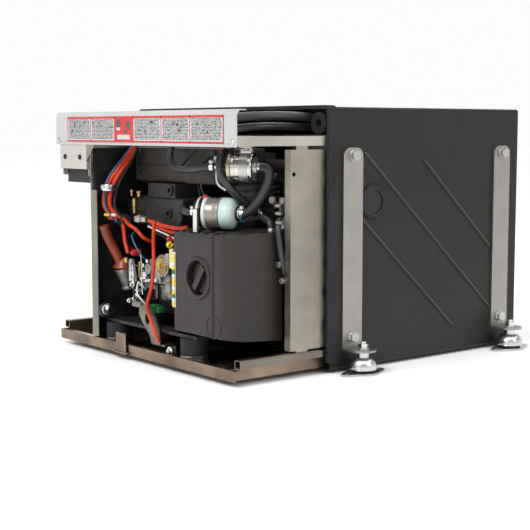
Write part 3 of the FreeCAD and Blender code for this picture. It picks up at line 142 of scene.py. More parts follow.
def finish(
    name, colour, rough=(0.4, 0.55), metallic=0.0, grain=900, bump=0.1, depth=0.0002, mottle=9,
    contrast=0.25, stretch=(1, 1, 1), stain=None, gloss_scale=5, specular=0.5
):
    """A surface with mottled colour, uneven gloss and a fine bump, each from its own noise.

    grain is the bump's frequency per metre, mottle the colour's, and stain a second colour that
    gathers in patches."""
    made, tree, shader, place, add = node_tree(name, colour, rough[0], metallic)
    shader.inputs["Specular IOR Level"].default_value = specular
    cloud = noise(tree, place, add, mottle, detail=5)
    colours = tint(tree, add, cloud, shade(colour, 1 - contrast), shade(colour, 1 + contrast))
    if stain:
        patch = noise(tree, place, add, mottle * 2.7, detail=7)
        mix = add("ShaderNodeMix", data_type="RGBA")
        tree.links.new(spread(tree, add, patch, 0.0, 0.8, 0.52, 0.72), mix.inputs[0])
        tree.links.new(colours, mix.inputs[6])
        mix.inputs[7].default_value = (*stain, 1)
        colours = mix.outputs[2]
    tree.links.new(colours, shader.inputs["Base Color"])
    fine = noise(tree, place, add, grain, stretch, detail=2)
    gloss = noise(tree, place, add, mottle * gloss_scale, detail=4)
    tree.links.new(spread(tree, add, gloss, *rough), shader.inputs["Roughness"])
    relief = add("ShaderNodeBump", Strength=bump, Distance=depth)
    tree.links.new(fine, relief.inputs["Height"])
    tree.links.new(relief.outputs["Normal"], shader.inputs["Normal"])
    return made


ALONG_X = (0.02, 1, 1)
ALONG_Y = (1, 0.02, 1)
ALONG_Z = (1, 1, 0.02)

MATERIALS = {
    "case_paint": finish(
        "powder_coat", (0.0125, 0.0113, 0.0102), (0.34, 0.48), grain=1400, bump=0.2, mottle=6,
        contrast=0.2, specular=0.27
    ),
    "black_rubber": finish(
        "black_rubber", (0.012, 0.012, 0.0125), (0.55, 0.75), grain=700, bump=0.15, specular=0.3
    ),
    "strap_steel": finish(
        "brushed_strap", (0.33, 0.315, 0.29), (0.36, 0.46), 1.0, grain=1100, bump=0.2, contrast=0.07,
        mottle=30
    ),
    "frame_steel": finish(
        "brushed_frame", (0.295, 0.268, 0.226), (0.32, 0.5), 1.0, grain=1300, bump=0.1, stretch=ALONG_Z,
        contrast=0.24, mottle=10
    ),
    "bright_sheet": finish(
        "bright_sheet", (0.52, 0.50, 0.46), (0.36, 0.5), 0.5, grain=1300, bump=0.06, contrast=0.06,
        mottle=12
    ),
    "top_steel": finish(
        "folded_steel", (0.44, 0.415, 0.375), (0.3, 0.46), 1.0, grain=1300, bump=0.1, stretch=ALONG_X,
        contrast=0.14, mottle=10
    ),
    "lip_steel": finish(
        "heat_tinted_lip", (0.25, 0.185, 0.135), (0.28, 0.45), 1.0, grain=1300, bump=0.2, stretch=ALONG_X,
        contrast=0.5, mottle=9, stain=(0.11, 0.09, 0.075)
    ),
    "tray_steel": finish(
        "tray_steel", (0.16, 0.145, 0.13), (0.35, 0.55), 1.0, grain=1100, bump=0.12, contrast=0.3,
        mottle=9, stain=(0.09, 0.075, 0.06)
    ),
    "plate_steel": finish(
        "plate_steel", (0.22, 0.20, 0.175), (0.36, 0.52), 1.0, grain=900, bump=0.12, contrast=0.3,
        mottle=45
    ),
    "rail_steel": finish(
        "rail_steel", (0.20, 0.175, 0.148), (0.26, 0.42), 1.0, grain=1500, bump=0.1, stretch=ALONG_Y,
        contrast=0.22, mottle=9
    ),
    "zinc": finish(
        "bright_zinc", (0.62, 0.625, 0.635), (0.16, 0.26), 1.0, grain=500, bump=0.04, contrast=0.1,
        mottle=24, gloss_scale=2
    ),
    "brushed_zinc": finish(
        "brushed_zinc", (0.50, 0.49, 0.47), (0.28, 0.4), 1.0, grain=1100, bump=0.08, contrast=0.15,
        mottle=30, gloss_scale=2
    ),
    "matt_zinc": finish(
        "matt_zinc", (0.66, 0.67, 0.65), (0.42, 0.58), 0.12, grain=900, bump=0.08, contrast=0.14,
        mottle=60
    ),
    "polished_steel": finish(
        "polished_steel", (0.60, 0.585, 0.55), (0.1, 0.19), 1.0, grain=1500, bump=0.05, stretch=ALONG_X,
        contrast=0.08, mottle=20, gloss_scale=2
    ),
    # A lighter paint for thin lines along the ribs' upper sides: a painted highlight, not a colour the case
    # has.
    "rib_highlight_paint": finish(
        "rib_highlight_paint", (0.075, 0.067, 0.055), (0.3, 0.42), grain=1400, bump=0.15, mottle=12, contrast=0.25,
        specular=0.4
    ),
    "black_plastic": finish(
        "black_plastic", (0.012, 0.012, 0.013), (0.36, 0.5), grain=1200, bump=0.12, specular=0.35
    ),
    "panel_white": finish(
        "panel_white", (0.43, 0.43, 0.42), (0.36, 0.48), 0.1, grain=900, bump=0.04, contrast=0.06
    ),
    "foam": finish(
        "foam", (0.008, 0.008, 0.0085), (0.85, 0.98), grain=420, bump=0.9, depth=0.001, contrast=0.5,
        mottle=50, specular=0.15
    ),
    "engine_black": finish(
        "engine_black", (0.016, 0.015, 0.0145), (0.36, 0.55), grain=600, bump=0.18, mottle=30,
        contrast=0.35, stain=(0.045, 0.036, 0.027), specular=0.35
    ),
    "cast_alloy": finish(
        "cast_alloy", (0.30, 0.29, 0.275), (0.36, 0.58), 0.85, grain=700, bump=0.25, mottle=35,
        contrast=0.35, stain=(0.08, 0.066, 0.05)
    ),
    "shaft_steel": finish("shaft_steel", (0.35, 0.34, 0.33), (0.25, 0.4), 1.0, grain=1500, bump=0.08),
    "copper": finish(
        "copper_winding", (0.50, 0.20, 0.08), (0.3, 0.45), 0.9, grain=900, bump=0.6, stretch=ALONG_X
    ),
    "silencer_grey": finish(
        "silencer_grey", (0.052, 0.047, 0.042), (0.42, 0.6), 0.35, grain=800, bump=0.15, mottle=22,
        contrast=0.28, stain=(0.062, 0.048, 0.036), specular=0.35
    ),
    "airbox_plastic": finish(
        "airbox_plastic", (0.0195, 0.0160, 0.0140), (0.34, 0.46), grain=1500, bump=0.14, mottle=12,
        contrast=0.16, specular=0.36
    ),
    "well_plastic": finish(
        "well_plastic", (0.006, 0.006, 0.0065), (0.3, 0.42), grain=1500, bump=0.1, specular=0.3
    ),
    "filter_paper": finish("filter_paper", (0.6, 0.5, 0.3), (0.7, 0.9), grain=500, bump=0.4),
    "clip_plastic": finish(
        "clip_plastic", (0.56, 0.56, 0.52), (0.35, 0.5), grain=700, bump=0.08, contrast=0.12
    ),
    "hose_rubber": finish(
        "hose_rubber", (0.022, 0.0225, 0.0245), (0.3, 0.44), grain=900, bump=0.12, contrast=0.25,
        mottle=25, specular=0.5
    ),
    "lead_orange": finish(
        "lead_orange", (0.44, 0.03, 0.004), (0.3, 0.45), grain=500, bump=0.05, contrast=0.22, mottle=40,
        specular=0.3
    ),
    "red_rubber": finish(
        "red_rubber", (0.19, 0.028, 0.010), (0.3, 0.46), grain=500, bump=0.12, contrast=0.35, mottle=30
    ),
    "green_plastic": finish("green_plastic", (0.006, 0.11, 0.022), (0.3, 0.45), grain=500, bump=0.05),
    "label_red": finish("label_red", (0.45, 0.02, 0.02), (0.3, 0.4), grain=900, bump=0.03, contrast=0.1),
    "label_ink": finish("label_ink", (0.06, 0.06, 0.065), (0.3, 0.4), grain=900, bump=0.03, contrast=0.1),
    "label_sheet": finish(
        "label_sheet", (0.45, 0.45, 0.44), (0.28, 0.38), grain=900, bump=0.03, contrast=0.05
    ),
    "brass": finish(
        "brass", (0.50, 0.35, 0.13), (0.26, 0.4), 1.0, grain=600, bump=0.06, contrast=0.15, mottle=50
    ),
    "gilt_zinc": finish(
        "gilt_zinc", (0.46, 0.41, 0.27), (0.22, 0.36), 1.0, grain=900, bump=0.05, contrast=0.2, mottle=40,
        gloss_scale=2
    ),
    "turquoise": finish(
        "turquoise_cap", (0.47, 0.60, 0.55), (0.2, 0.32), grain=500, bump=0.04, contrast=0.1
    ),
    "filter_can": finish(
        "filter_can", (0.30, 0.275, 0.24), (0.22, 0.36), 0.6, grain=900, bump=0.05, stretch=ALONG_X,
        stain=(0.16, 0.13, 0.10)
    ),
    "pale_yellow": finish(
        "pale_yellow", (0.62, 0.56, 0.25), (0.3, 0.45), grain=500, bump=0.05, contrast=0.25, mottle=60
    ),
    "yellow": finish(
        "yellow_print", (0.68, 0.48, 0.02), (0.35, 0.5), grain=500, bump=0.05, contrast=0.15
    ),
    "blue": finish("blue_lead", (0.01, 0.085, 0.15), (0.3, 0.42), grain=500, bump=0.05),
}


def paint(thing, slot):
    """Gives a piece one of the materials above."""
    thing.data.materials.clear()
    thing.data.materials.append(MATERIALS[slot])
    return thing


# ---------------------------------------------------------------- mesh helpers


def settle(thing, slot, body, stands_for=()):
    """Smooth shading by angle, material, record slot, body, and the CAD nodes that a piece stands for."""
    if thing.type == "MESH":
        for face in thing.data.polygons:
            face.use_smooth = True
        thing.data.set_sharp_from_angle(angle=math.radians(SHARP_DEGREES))
    paint(thing, slot)
    if body:
        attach(thing, body)
    if stands_for:
        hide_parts(*stands_for)
    return thing


def piece(name, mesh, slot, stands_for=(), bevel=0.0, body="drawer"):
    """An object of a bmesh, with rounded edges where bevel is given."""
    data = bpy.data.meshes.new(name)
    mesh.to_mesh(data)
    mesh.free()
    thing = bpy.data.objects.new(name, data)
    bpy.context.scene.collection.objects.link(thing)
    if bevel:
        soft = thing.modifiers.new("edges", "BEVEL")
        soft.width = bevel * MM
        soft.segments = 3
        soft.limit_method = "ANGLE"
        soft.angle_limit = math.radians(PIECE_EDGE_DEGREES)
        baked = bpy.data.meshes.new_from_object(thing.evaluated_get(bpy.context.evaluated_depsgraph_get()))
        thing.modifiers.clear()
        thing.data = baked
    return settle(thing, slot, body, stands_for)


AXES = {
    "x": Matrix.Rotation(math.pi / 2, 4, "Y"), "y": Matrix.Rotation(-math.pi / 2, 4, "X"),
    "z": Matrix.Identity(4)
}


def lathe(mesh, centre, axis, profile, segments=40, hollow=False):
    """Adds a turned form: profile is (distance along the axis, radius) in millimetres from centre.

    The axis is a letter or a vector. A hollow form is a ring, whose profile closes on itself."""
    spin = AXES[axis] if isinstance(axis, str) else axis.to_track_quat("Z", "Y").to_matrix().to_4x4()
    turn = Matrix.Translation(centre) @ spin
    rings = []
    for along, radius in profile:
        ring = []
        for i in range(segments):
            a = 2 * math.pi * i / segments
            place = Vector((radius * math.cos(a), radius * math.sin(a), along)) * MM
            ring.append(mesh.verts.new(turn @ place))
        rings.append(ring)
    for low, high in zip(rings, rings[1:]):
        for i in range(segments):
            j = (i + 1) % segments
            mesh.faces.new((low[i], low[j], high[j], high[i]))
    if hollow:
        for i in range(segments):
            j = (i + 1) % segments
            mesh.faces.new((rings[-1][i], rings[-1][j], rings[0][j], rings[0][i]))
    else:
        mesh.faces.new(list(reversed(rings[0])))
        mesh.faces.new(rings[-1])


def block(mesh, low, high, turn=None):
    """Adds a box between two corners, turned about its centre where wanted."""
    centre = (low + high) / 2
    size = high - low
    matrix = Matrix.Translation(centre) @ (turn or Matrix.Identity(4)) @ Matrix.Diagonal((*size, 1))
    bmesh.ops.create_cube(mesh, size=1, matrix=matrix)


def turned(*form, **options):
    """A bmesh of one turned form."""
    mesh = bmesh.new()
    lathe(mesh, *form, **options)
    return mesh


def boxed(low, high):
    """A bmesh of one box."""
    mesh = bmesh.new()
    block(mesh, low, high)
    return mesh


def hexagon(mesh, centre, axis, flats, height):
    """Adds a hexagonal head or nut with a chamfered top."""
    radius = flats / math.sqrt(3)
    lathe(mesh, centre, axis, [(0, radius), (height * 0.82, radius), (height, radius * 0.86)], 6)


def route(points):
    """A smooth curve object along points in metres."""
    data = bpy.data.curves.new("route", "CURVE")
    data.dimensions = "3D"
    data.resolution_u = 10
    line = data.splines.new("NURBS")
    line.points.add(len(points) - 1)
    for point, place in zip(line.points, points):
        point.co = (*place, 1)
    line.order_u = 3
    line.use_endpoint_u = True
    thing = bpy.data.objects.new("route", data)
    bpy.context.scene.collection.objects.link(thing)
    return thing


def tube(name, points, radius, slot, body="drawer", stands_for=()):
    """A round hose or lead along a smooth route, with closed ends."""
    thing = route(points)
    thing.data.bevel_depth = radius * MM
    thing.data.bevel_resolution = 5
    thing.data.use_fill_caps = True
    data = bpy.data.meshes.new_from_object(thing.evaluated_get(bpy.context.evaluated_depsgraph_get()))
    bpy.data.objects.remove(thing)
    made = bpy.data.objects.new(name, data)
    bpy.context.scene.collection.objects.link(made)
    return settle(made, slot, body, stands_for)


def rounded(corners, radius, steps=5):
    """A closed outline of (x, y) corners with round corners."""
    out = []
    count = len(corners)
    for i, corner in enumerate(corners):
        here = Vector(corner)
        before, after = Vector(corners[i - 1]), Vector(corners[(i + 1) % count])
        come, go = (here - before).normalized(), (after - here).normalized()
        turn = come.angle(go)
        back = min(
            radius * math.tan(turn / 2), 0.49 * (here - before).length, 0.49 * (after - here).length
        )
        first, last = here - come * back, here + go * back
        for k in range(steps + 1):
            t = k / steps
            out.append((1 - t) ** 2 * first + 2 * t * (1 - t) * here + t * t * last)
    return out


def oval(x, y, wide, tall, steps=20):
    """A closed round or oval outline, from its two half widths."""
    turns = (2 * math.pi * i / steps for i in range(steps))
    return [Vector((x + wide * math.cos(a), y + tall * math.sin(a))) for a in turns]


def flat_plate(loops, thickness):
    """A bmesh of a plate in the XY plane, millimetres, holes included; its top edges are rounded."""
    data = bpy.data.curves.new("plate", "CURVE")
    data.dimensions = "2D"
    data.fill_mode = "BOTH"
    data.extrude = thickness / 2 - PLATE_EDGE
    data.bevel_depth = PLATE_EDGE
    data.bevel_resolution = 1
    data.offset = -PLATE_EDGE
    for loop in loops:
        line = data.splines.new("POLY")
        line.points.add(len(loop) - 1)
        for point, place in zip(line.points, loop):
            point.co = (place[0], place[1], 0, 1)
        line.use_cyclic_u = True
    thing = bpy.data.objects.new("plate", data)
    bpy.context.scene.collection.objects.link(thing)
    made = bpy.data.meshes.new_from_object(thing.evaluated_get(bpy.context.evaluated_depsgraph_get()))
    bpy.data.objects.remove(thing)
    mesh = bmesh.new()
    mesh.from_mesh(made)
    bmesh.ops.remove_doubles(mesh, verts=mesh.verts, dist=1e-4)
    return mesh


def placed(mesh, origin, across, up):
    """Moves a plate to the row frame: its x runs along across, its y along up, and its z out of both."""
    across, up = Vector(across).normalized(), Vector(up).normalized()
    out = across.cross(up)
    turn = Matrix((across, up, out)).transposed().to_4x4()
    bmesh.ops.transform(
        mesh, matrix=Matrix.Translation(origin) @ turn @ Matrix.Scale(MM, 4), verts=mesh.verts
    )
    return mesh


def cad(node, slot, bevel):
    """Shows a CAD node as it is, with softened edges and a finished material."""
    thing = NODES[node]
    paint(thing, slot)
    if bevel:
        weld = thing.modifiers.new("weld", "WELD")
        weld.merge_threshold = 1e-6
        soft = thing.modifiers.new("edges", "BEVEL")
        soft.width = bevel * MM
        soft.segments = 2
        soft.limit_method = "ANGLE"
        soft.angle_limit = math.radians(CAD_EDGE_DEGREES)
    even = thing.modifiers.new("normals", "WEIGHTED_NORMAL")
    even.weight = 80
    even.keep_sharp = True
    return thing


# ---------------------------------------------------------------- the CAD nodes that stay as they are

# The bevel in millimetres of each node, under its material.
KEPT = {
    "case_paint": {"case_shell": 1.2, "rear_panel": 0.6},
    "black_plastic": {
        "side_plug": 0.5, "corner_ring": 0.3, "case_rollers": 0.3, "drawer_rollers": 0.3,
        "terminal_block": 0.6, "filter_clamp": 0.3
    },
    "black_rubber": {"edge_seal": 0.4, "foot_rubbers": 0.5, "engine_mounts": 0.5},
    "strap_steel": {"mounting_straps": 0},
    "brushed_zinc": {"strap_fasteners": 0.3, "foot_flanges": 0.4, "pump_strap": 0.2},
    "zinc": {"foot_domes": 0.4, "foot_studs": 0.3},
    "rail_steel": {"drawer_guides": 0.3, "lower_rails": 0.4},
    "shaft_steel": {"crankshaft": 0.3},
    "airbox_plastic": {"air_box_knob": 0.8, "air_box_cover": 0.8, "air_box_base": 0.8},
    "lip_steel": {"front_latch": 0.3, "tray": 0.3},
    "top_steel": {"upper_frame": 0.3},
    "panel_white": {"label_panel": 0.3, "label_plate": 0.1},
    "frame_steel": {"divider": 0.3, "side_panel": 0},
    "foam": {"divider_lining": 0.6},
    "bright_sheet": {"junction_cover": 0.3},
    "tray_steel": {"mount_seats": 0.4},
    "engine_black": {
        "engine_cradle": 0.5, "crankcase": 1.2, "fan_housing": 0.8, "inverter": 0.5, "starter_motor": 0.6,
        "cooling_duct": 0.5
    },
    "cast_alloy": {"cylinder": 0.3, "cylinder_head": 0.8, "piston": 0.2, "alternator_housing": 0.8},
    "copper": {"stator": 0.2},
    "silencer_grey": {"silencer": 0, "exhaust_pipes": 0.5},
    "filter_paper": {"air_filter": 0.3},
}
for slot, bevels in KEPT.items():
    for node, bevel in bevels.items():
        cad(node, slot, bevel)

# ---------------------------------------------------------------- hoses, loom and leads

SWING = Vector((math.cos(math.radians(33)), math.sin(math.radians(33)), 0))
PUMP = D(153.6, 70, 278.5)
FILTER = D(120, 58, 215.5)


def on_axis(centre, along):
    """A point on the swung axis of the pump or the filter."""
    return centre + SWING * along * MM


ENGINE_HOSES = (
    ("hose_feed", 5, [
        on_axis(PUMP, -41), on_axis(PUMP, -53), D(96, 38, 276.5), D(78, 41, 274), D(50, 46, 273),
        D(22, 50, 274), D(8, 50, 286), D(9, 50, 302), D(18, 50, 318), D(34, 48, 332), D(56, 44, 339)
    ]),
    ("hose_pump", 6.5, [
        on_axis(PUMP, 24), on_axis(PUMP, 36), D(185, 90, 266), D(178, 88, 248), D(165, 84, 230),
        on_axis(FILTER, 38), on_axis(FILTER, 25)
    ]),
    ("hose_filter", 5, [
        on_axis(FILTER, -38), on_axis(FILTER, -52), D(64, 34, 218), D(47, 43, 220), D(35, 54, 212),
        D(26, 56, 198), D(18, 56, 184), D(10, 58, 170), D(8, 62, 158), D(8, 62, 146)
    ]),
    ("hose_crank", 5, [
        D(105, 92, 330), D(105, 90, 312), D(112, 78, 300), D(126, 54, 298), D(134, 44, 288),
        D(135, 43, 274), D(139, 48, 260), D(144, 60, 245), D(143, 80, 232), D(150, 95, 219),
        D(165, 96, 208.5), D(177, 96, 206), D(181, 96, 200), D(181, 96, 192)
    ]),
    ("hose_drain", 4, [
        D(196, 110, 230), D(200, 96, 214), D(204, 88, 198), D(208, 88, 180), D(208, 92, 156),
        D(207, 99, 136), D(202, 108, 120)
    ]),
)
for name, radius, points in ENGINE_HOSES:
    made = tube(name, points, radius, "hose_rubber")
    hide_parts("engine_hoses")

for name, radius, points in (
    ("hose_supply", 6, [
        (56, 30, 339), (84, 28, 340), (120, 30, 342), (152, 40, 345), (174, 66, 347), (184, 100, 348),
        (187, 150, 347), (186, 205, 344), (180, 262, 341), (168, 316, 336), (150, 369, 330)
    ]),
    ("hose_return", 5, [
        (66, 46, 326), (100, 44, 327), (134, 48, 329), (160, 62, 332), (172, 88, 334), (176, 130, 334),
        (174, 185, 332), (166, 240, 330), (152, 300, 328), (120, 369, 328)
    ]),
):
    made = tube(name, [D(*p) for p in points], radius, "hose_rubber")
    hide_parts("service_hoses")

# ---------------------------------------------------------------- label panel


def print_label():
    """A generic printed label: a red border, five fields with small marks, and a red field of gauges."""
    low, high = 311.5, 348.3
    face = -0.66
    dividers = (-192, -125, -58.5, -9.3, 60.8, 129, 202)
    frame_mesh, ink = bmesh.new(), bmesh.new()

    def flat(mesh, x0, x1, z0, z1, lift=0.0):
        block(mesh, D(x0, face - 0.05 - lift, z0), D(x1, face + 0.04 - lift, z1))

    flat(frame_mesh, -192, 202, low, low + 2.2)
    flat(frame_mesh, -192, 202, high - 3.2, high)
    for x in dividers:
        flat(frame_mesh, x - 0.8, x + 0.8, low, high)
    flat(frame_mesh, -57.7, -10.1, low + 2.2, high - 3.2)
    fields = [pair for pair in zip(dividers, dividers[1:]) if pair[0] != -58.5]
    for left, right in fields:
        wide = right - left
        for row in range(15):
            z = low + 4.4 + row * 1.95
            x = left + 3 + random.uniform(0, 2)
            while x < right - 5:
                run = random.uniform(1.2, 7.5)
                flat(ink, x, min(x + run, right - 3), z, z + random.uniform(0.8, 1.35))
                x += run + random.uniform(0.6, 1.8)
        for _ in range(5):
            x, z = left + 5 + random.uniform(0, wide * 0.75), high - 6 - random.uniform(0, 14)
            wide_mark, tall = random.uniform(2, 6.5), random.uniform(1.5, 4.2)
            flat(ink, x, min(x + wide_mark, right - 3), z - tall, z, 0.02)
    gauges = bmesh.new()
    for x, z, radius in ((-48, high - 10, 6.0), (-22, high - 13, 6.2), (-30, low + 15, 3.0)):
        lathe(gauges, D(x, face - 0.12, z), "y", [(0, radius), (0.1, radius)], 28)
    window = bmesh.new()
    flat(window, -51, -18, low + 4, low + 10.5, 0.04)
    flat(window, -53, -43, low + 17, low + 21, 0.04)
    piece("label_border", frame_mesh, "label_red")
    piece("label_marks", ink, "label_ink")
    piece("label_gauges", gauges, "label_ink")
    piece("label_windows", window, "label_sheet")


# ---------------------------------------------------------------- fuel pump, filter and clamps


def hose_clip(mesh, centre, axis, radius, wide=5):
    """A worm-drive clip round a hose, with its screw housing on top."""
    lathe(mesh, centre, axis, [
        (0, radius - 0.6), (0, radius + 0.9), (wide, radius + 0.9), (wide, radius - 0.6)
    ], 32)
    middle = centre + axis * (wide / 2) * MM
    spin = axis.to_track_quat("X", "Z").to_matrix().to_4x4()
    half = Vector((wide / 2 + 0.6, 3.2, 1.5)) * MM
    housing = middle + Vector((0, 0, radius + 2.2)) * MM
    block(mesh, housing - half, housing + half, spin)
    across = axis.cross(Vector((0, 0, 1)))
    hexagon(mesh, housing + across * 3 * MM, across, 4.6, 3)


def fuel_pump():
    """The polished pump can with its rim, nozzles, hanger nuts and earth lead."""
    piece("pump_can", turned(PUMP, SWING, [
        (-13, 16), (-13, 19.3), (-11.8, 19.8), (-10.4, 19.3), (-9.6, 18.6), (-8.4, 18.6), (-7.6, 19.3),
        (13.4, 19.3), (15.2, 18.6), (16.4, 17.2), (17, 14)
    ], 80), "polished_steel", ("fuel_pump",))
    piece("pump_rim", turned(PUMP, SWING, [
        (-19.4, 15), (-19.2, 19.2), (-18, 20.4), (-14.6, 20.4), (-13.6, 19.8), (-13, 16)
    ], 80), "gilt_zinc")
    ends = bmesh.new()
    lathe(ends, PUMP, SWING, [(-25, 2), (-24, 6), (-20, 7), (-19, 7)], 32)
    lathe(ends, PUMP, SWING, [(-43, 2.4), (-43, 3.4), (-34, 3.4), (-33, 4.2), (-31, 3.4), (-24, 3.4)], 28)
    hexagon(ends, on_axis(PUMP, 17), SWING, 12, 3.4)
    lathe(ends, PUMP, SWING, [(20, 4), (21, 5.8), (25.6, 5.8), (26, 5)], 28)
    piece("pump_nozzles", ends, "zinc")
    piece("pump_tee_cap", turned(
        on_axis(PUMP, -44) + Vector((0, 0.008, 0.005)), "z", [(0, 3.4), (3, 5), (9, 5.4), (10, 4.2)], 28
    ), "clip_plastic", bevel=0.2)
    nuts = bmesh.new()
    for along in (-1, 10):
        hexagon(nuts, on_axis(PUMP, along) + Vector((0, 0, 0.0205)), "z", 7.6, 5)
    lathe(
        nuts, on_axis(PUMP, 5) + Vector((0, 0, 0.0195)), "z",
        [(0, 10.6), (1.2, 10.6), (1.6, 9.6), (2.6, 9.6)], 36
    )
    piece("pump_hanger_nuts", nuts, "zinc")
    thin = [D(121, 49, 275), D(123, 47, 268), D(126, 45, 260), D(132, 46, 252), D(138, 52, 248)]
    tube("pump_earth_lead", thin, 1.3, "clip_plastic")


def fuel_filter():
    """The in-line filter, its hose clips, the breather's joint and the sender's leads and cap."""
    piece("filter_can", turned(FILTER, SWING, [
        (-18, 18), (-18, 21), (-16, 21.4), (-14.6, 21), (-3, 21), (-2, 21.5), (0, 21.5), (1, 21), (2, 18)
    ], 72), "filter_can", ("fuel_filter",))
    pale = bmesh.new()
    lathe(pale, FILTER, SWING, [
        (-23, 18), (-23, 21.6), (-22, 22.4), (-19, 22.4), (-18, 21.6), (-18, 18)
    ], 72)
    lathe(pale, FILTER, SWING, [(-30.6, 21), (-30.4, 22), (-28.2, 22), (-28, 21)], 72, hollow=True)
    across = SWING.cross(Vector((0, 0, 1)))
    spin = SWING.to_track_quat("X", "Z").to_matrix().to_4x4()
    middle = on_axis(FILTER, -29.6) + across * 24.2 * MM
    half = Vector((2.7, 0.8, 15.5)) * MM
    block(pale, middle - half - Vector((0, 0, 9 * MM)), middle + half - Vector((0, 0, 9 * MM)), spin)
    piece("filter_rings", pale, "clip_plastic")
    dark = bmesh.new()
    lathe(dark, FILTER, SWING, [(-36, 15), (-35.6, 18.8), (-31, 19), (-30.6, 17)], 72)
    lathe(dark, FILTER, SWING, [(-27.4, 17), (-27.2, 19.2), (-23.4, 19.4), (-23, 17)], 72)
    lathe(dark, FILTER, SWING, [(21.8, 6), (22.8, 9.4), (24.4, 9.4), (24.8, 6)], 40)
    piece("filter_seals", dark, "black_rubber")
    piece("filter_cap", turned(FILTER, SWING, [
        (2, 18), (2, 21.2), (3, 21.8), (12, 21.8), (15.6, 21.2), (18.4, 19.6), (20.6, 16.6), (21.8, 12),
        (22.2, 6)
    ], 80), "turquoise")
    ends = bmesh.new()
    hose_clip(ends, on_axis(FILTER, 28), SWING, 6.6, 4.5)
    hose_clip(ends, on_axis(PUMP, -48), SWING, 5.1, 5)
    hose_clip(ends, on_axis(FILTER, -44), SWING, 5.1, 4.5)
    piece("hose_clips", ends, "zinc", ("hose_clamps",))
    spigots = bmesh.new()
    lathe(spigots, FILTER, SWING, [(24.4, 7.4), (26.6, 7.4), (27, 5)], 32)
    lathe(spigots, FILTER, SWING, [(-39, 4), (-38.6, 6.4), (-36, 7)], 32)
    piece("filter_spigots", spigots, "clip_plastic")
    joint = bmesh.new()
    slant = Vector((0.72, 0.05, -0.5)).normalized()
    for along in (0, 9):
        hose_clip(joint, D(150, 94, 219) + slant * along * MM, slant, 5.2, 4.5)
    lathe(joint, D(181, 96, 191), "z", [(0, 7), (3, 7), (3.6, 5.4), (6, 5.2)], 32)
    piece("breather_joint", joint, "zinc")
    drop = Vector((0, 6, 6)) * MM
    coil(
        "blue_hoop", on_axis(FILTER, 34) - drop, on_axis(FILTER, 35.4) - drop, 6, 0.8, 1, "blue",
    )
    for name, points, radius, slot in (
        ("sender_lead", [
            D(84, 50, 262), D(88, 46, 250), D(96, 44, 243), D(103, 43, 239)
        ], 0.9, "hose_rubber"),
        ("sender_lead_red", [D(112, 60, 296), D(120, 56, 301), D(130, 52, 303)], 1.5, "lead_orange"),
        (
            "sender_lead_black", [D(86, 46, 276), D(94, 48, 286), D(106, 56, 294), D(118, 60, 299)], 1.8,
            "black_rubber"
        ),
    ):
        tube(name, points, radius, slot)
    piece(
        "sender_cap", turned(D(103, 43, 236), "z", [(0, 3.6), (1, 4.2), (3.6, 4), (4.4, 2.4)], 24),
        "label_red"
    )


# ---------------------------------------------------------------- wiring


def coil(name, start, end, radius, wire, turns, slot):
    """A round spring or corrugated sleeve from start to end."""
    axis = end - start
    side = axis.orthogonal().normalized()
    other = axis.normalized().cross(side)
    steps = turns * 12
    points = []
    for i in range(steps + 1):
        a = 2 * math.pi * i / 12
        points.append(start + axis * (i / steps) + (side * math.cos(a) + other * math.sin(a)) * radius * MM)
    return tube(name, points, wire, slot)


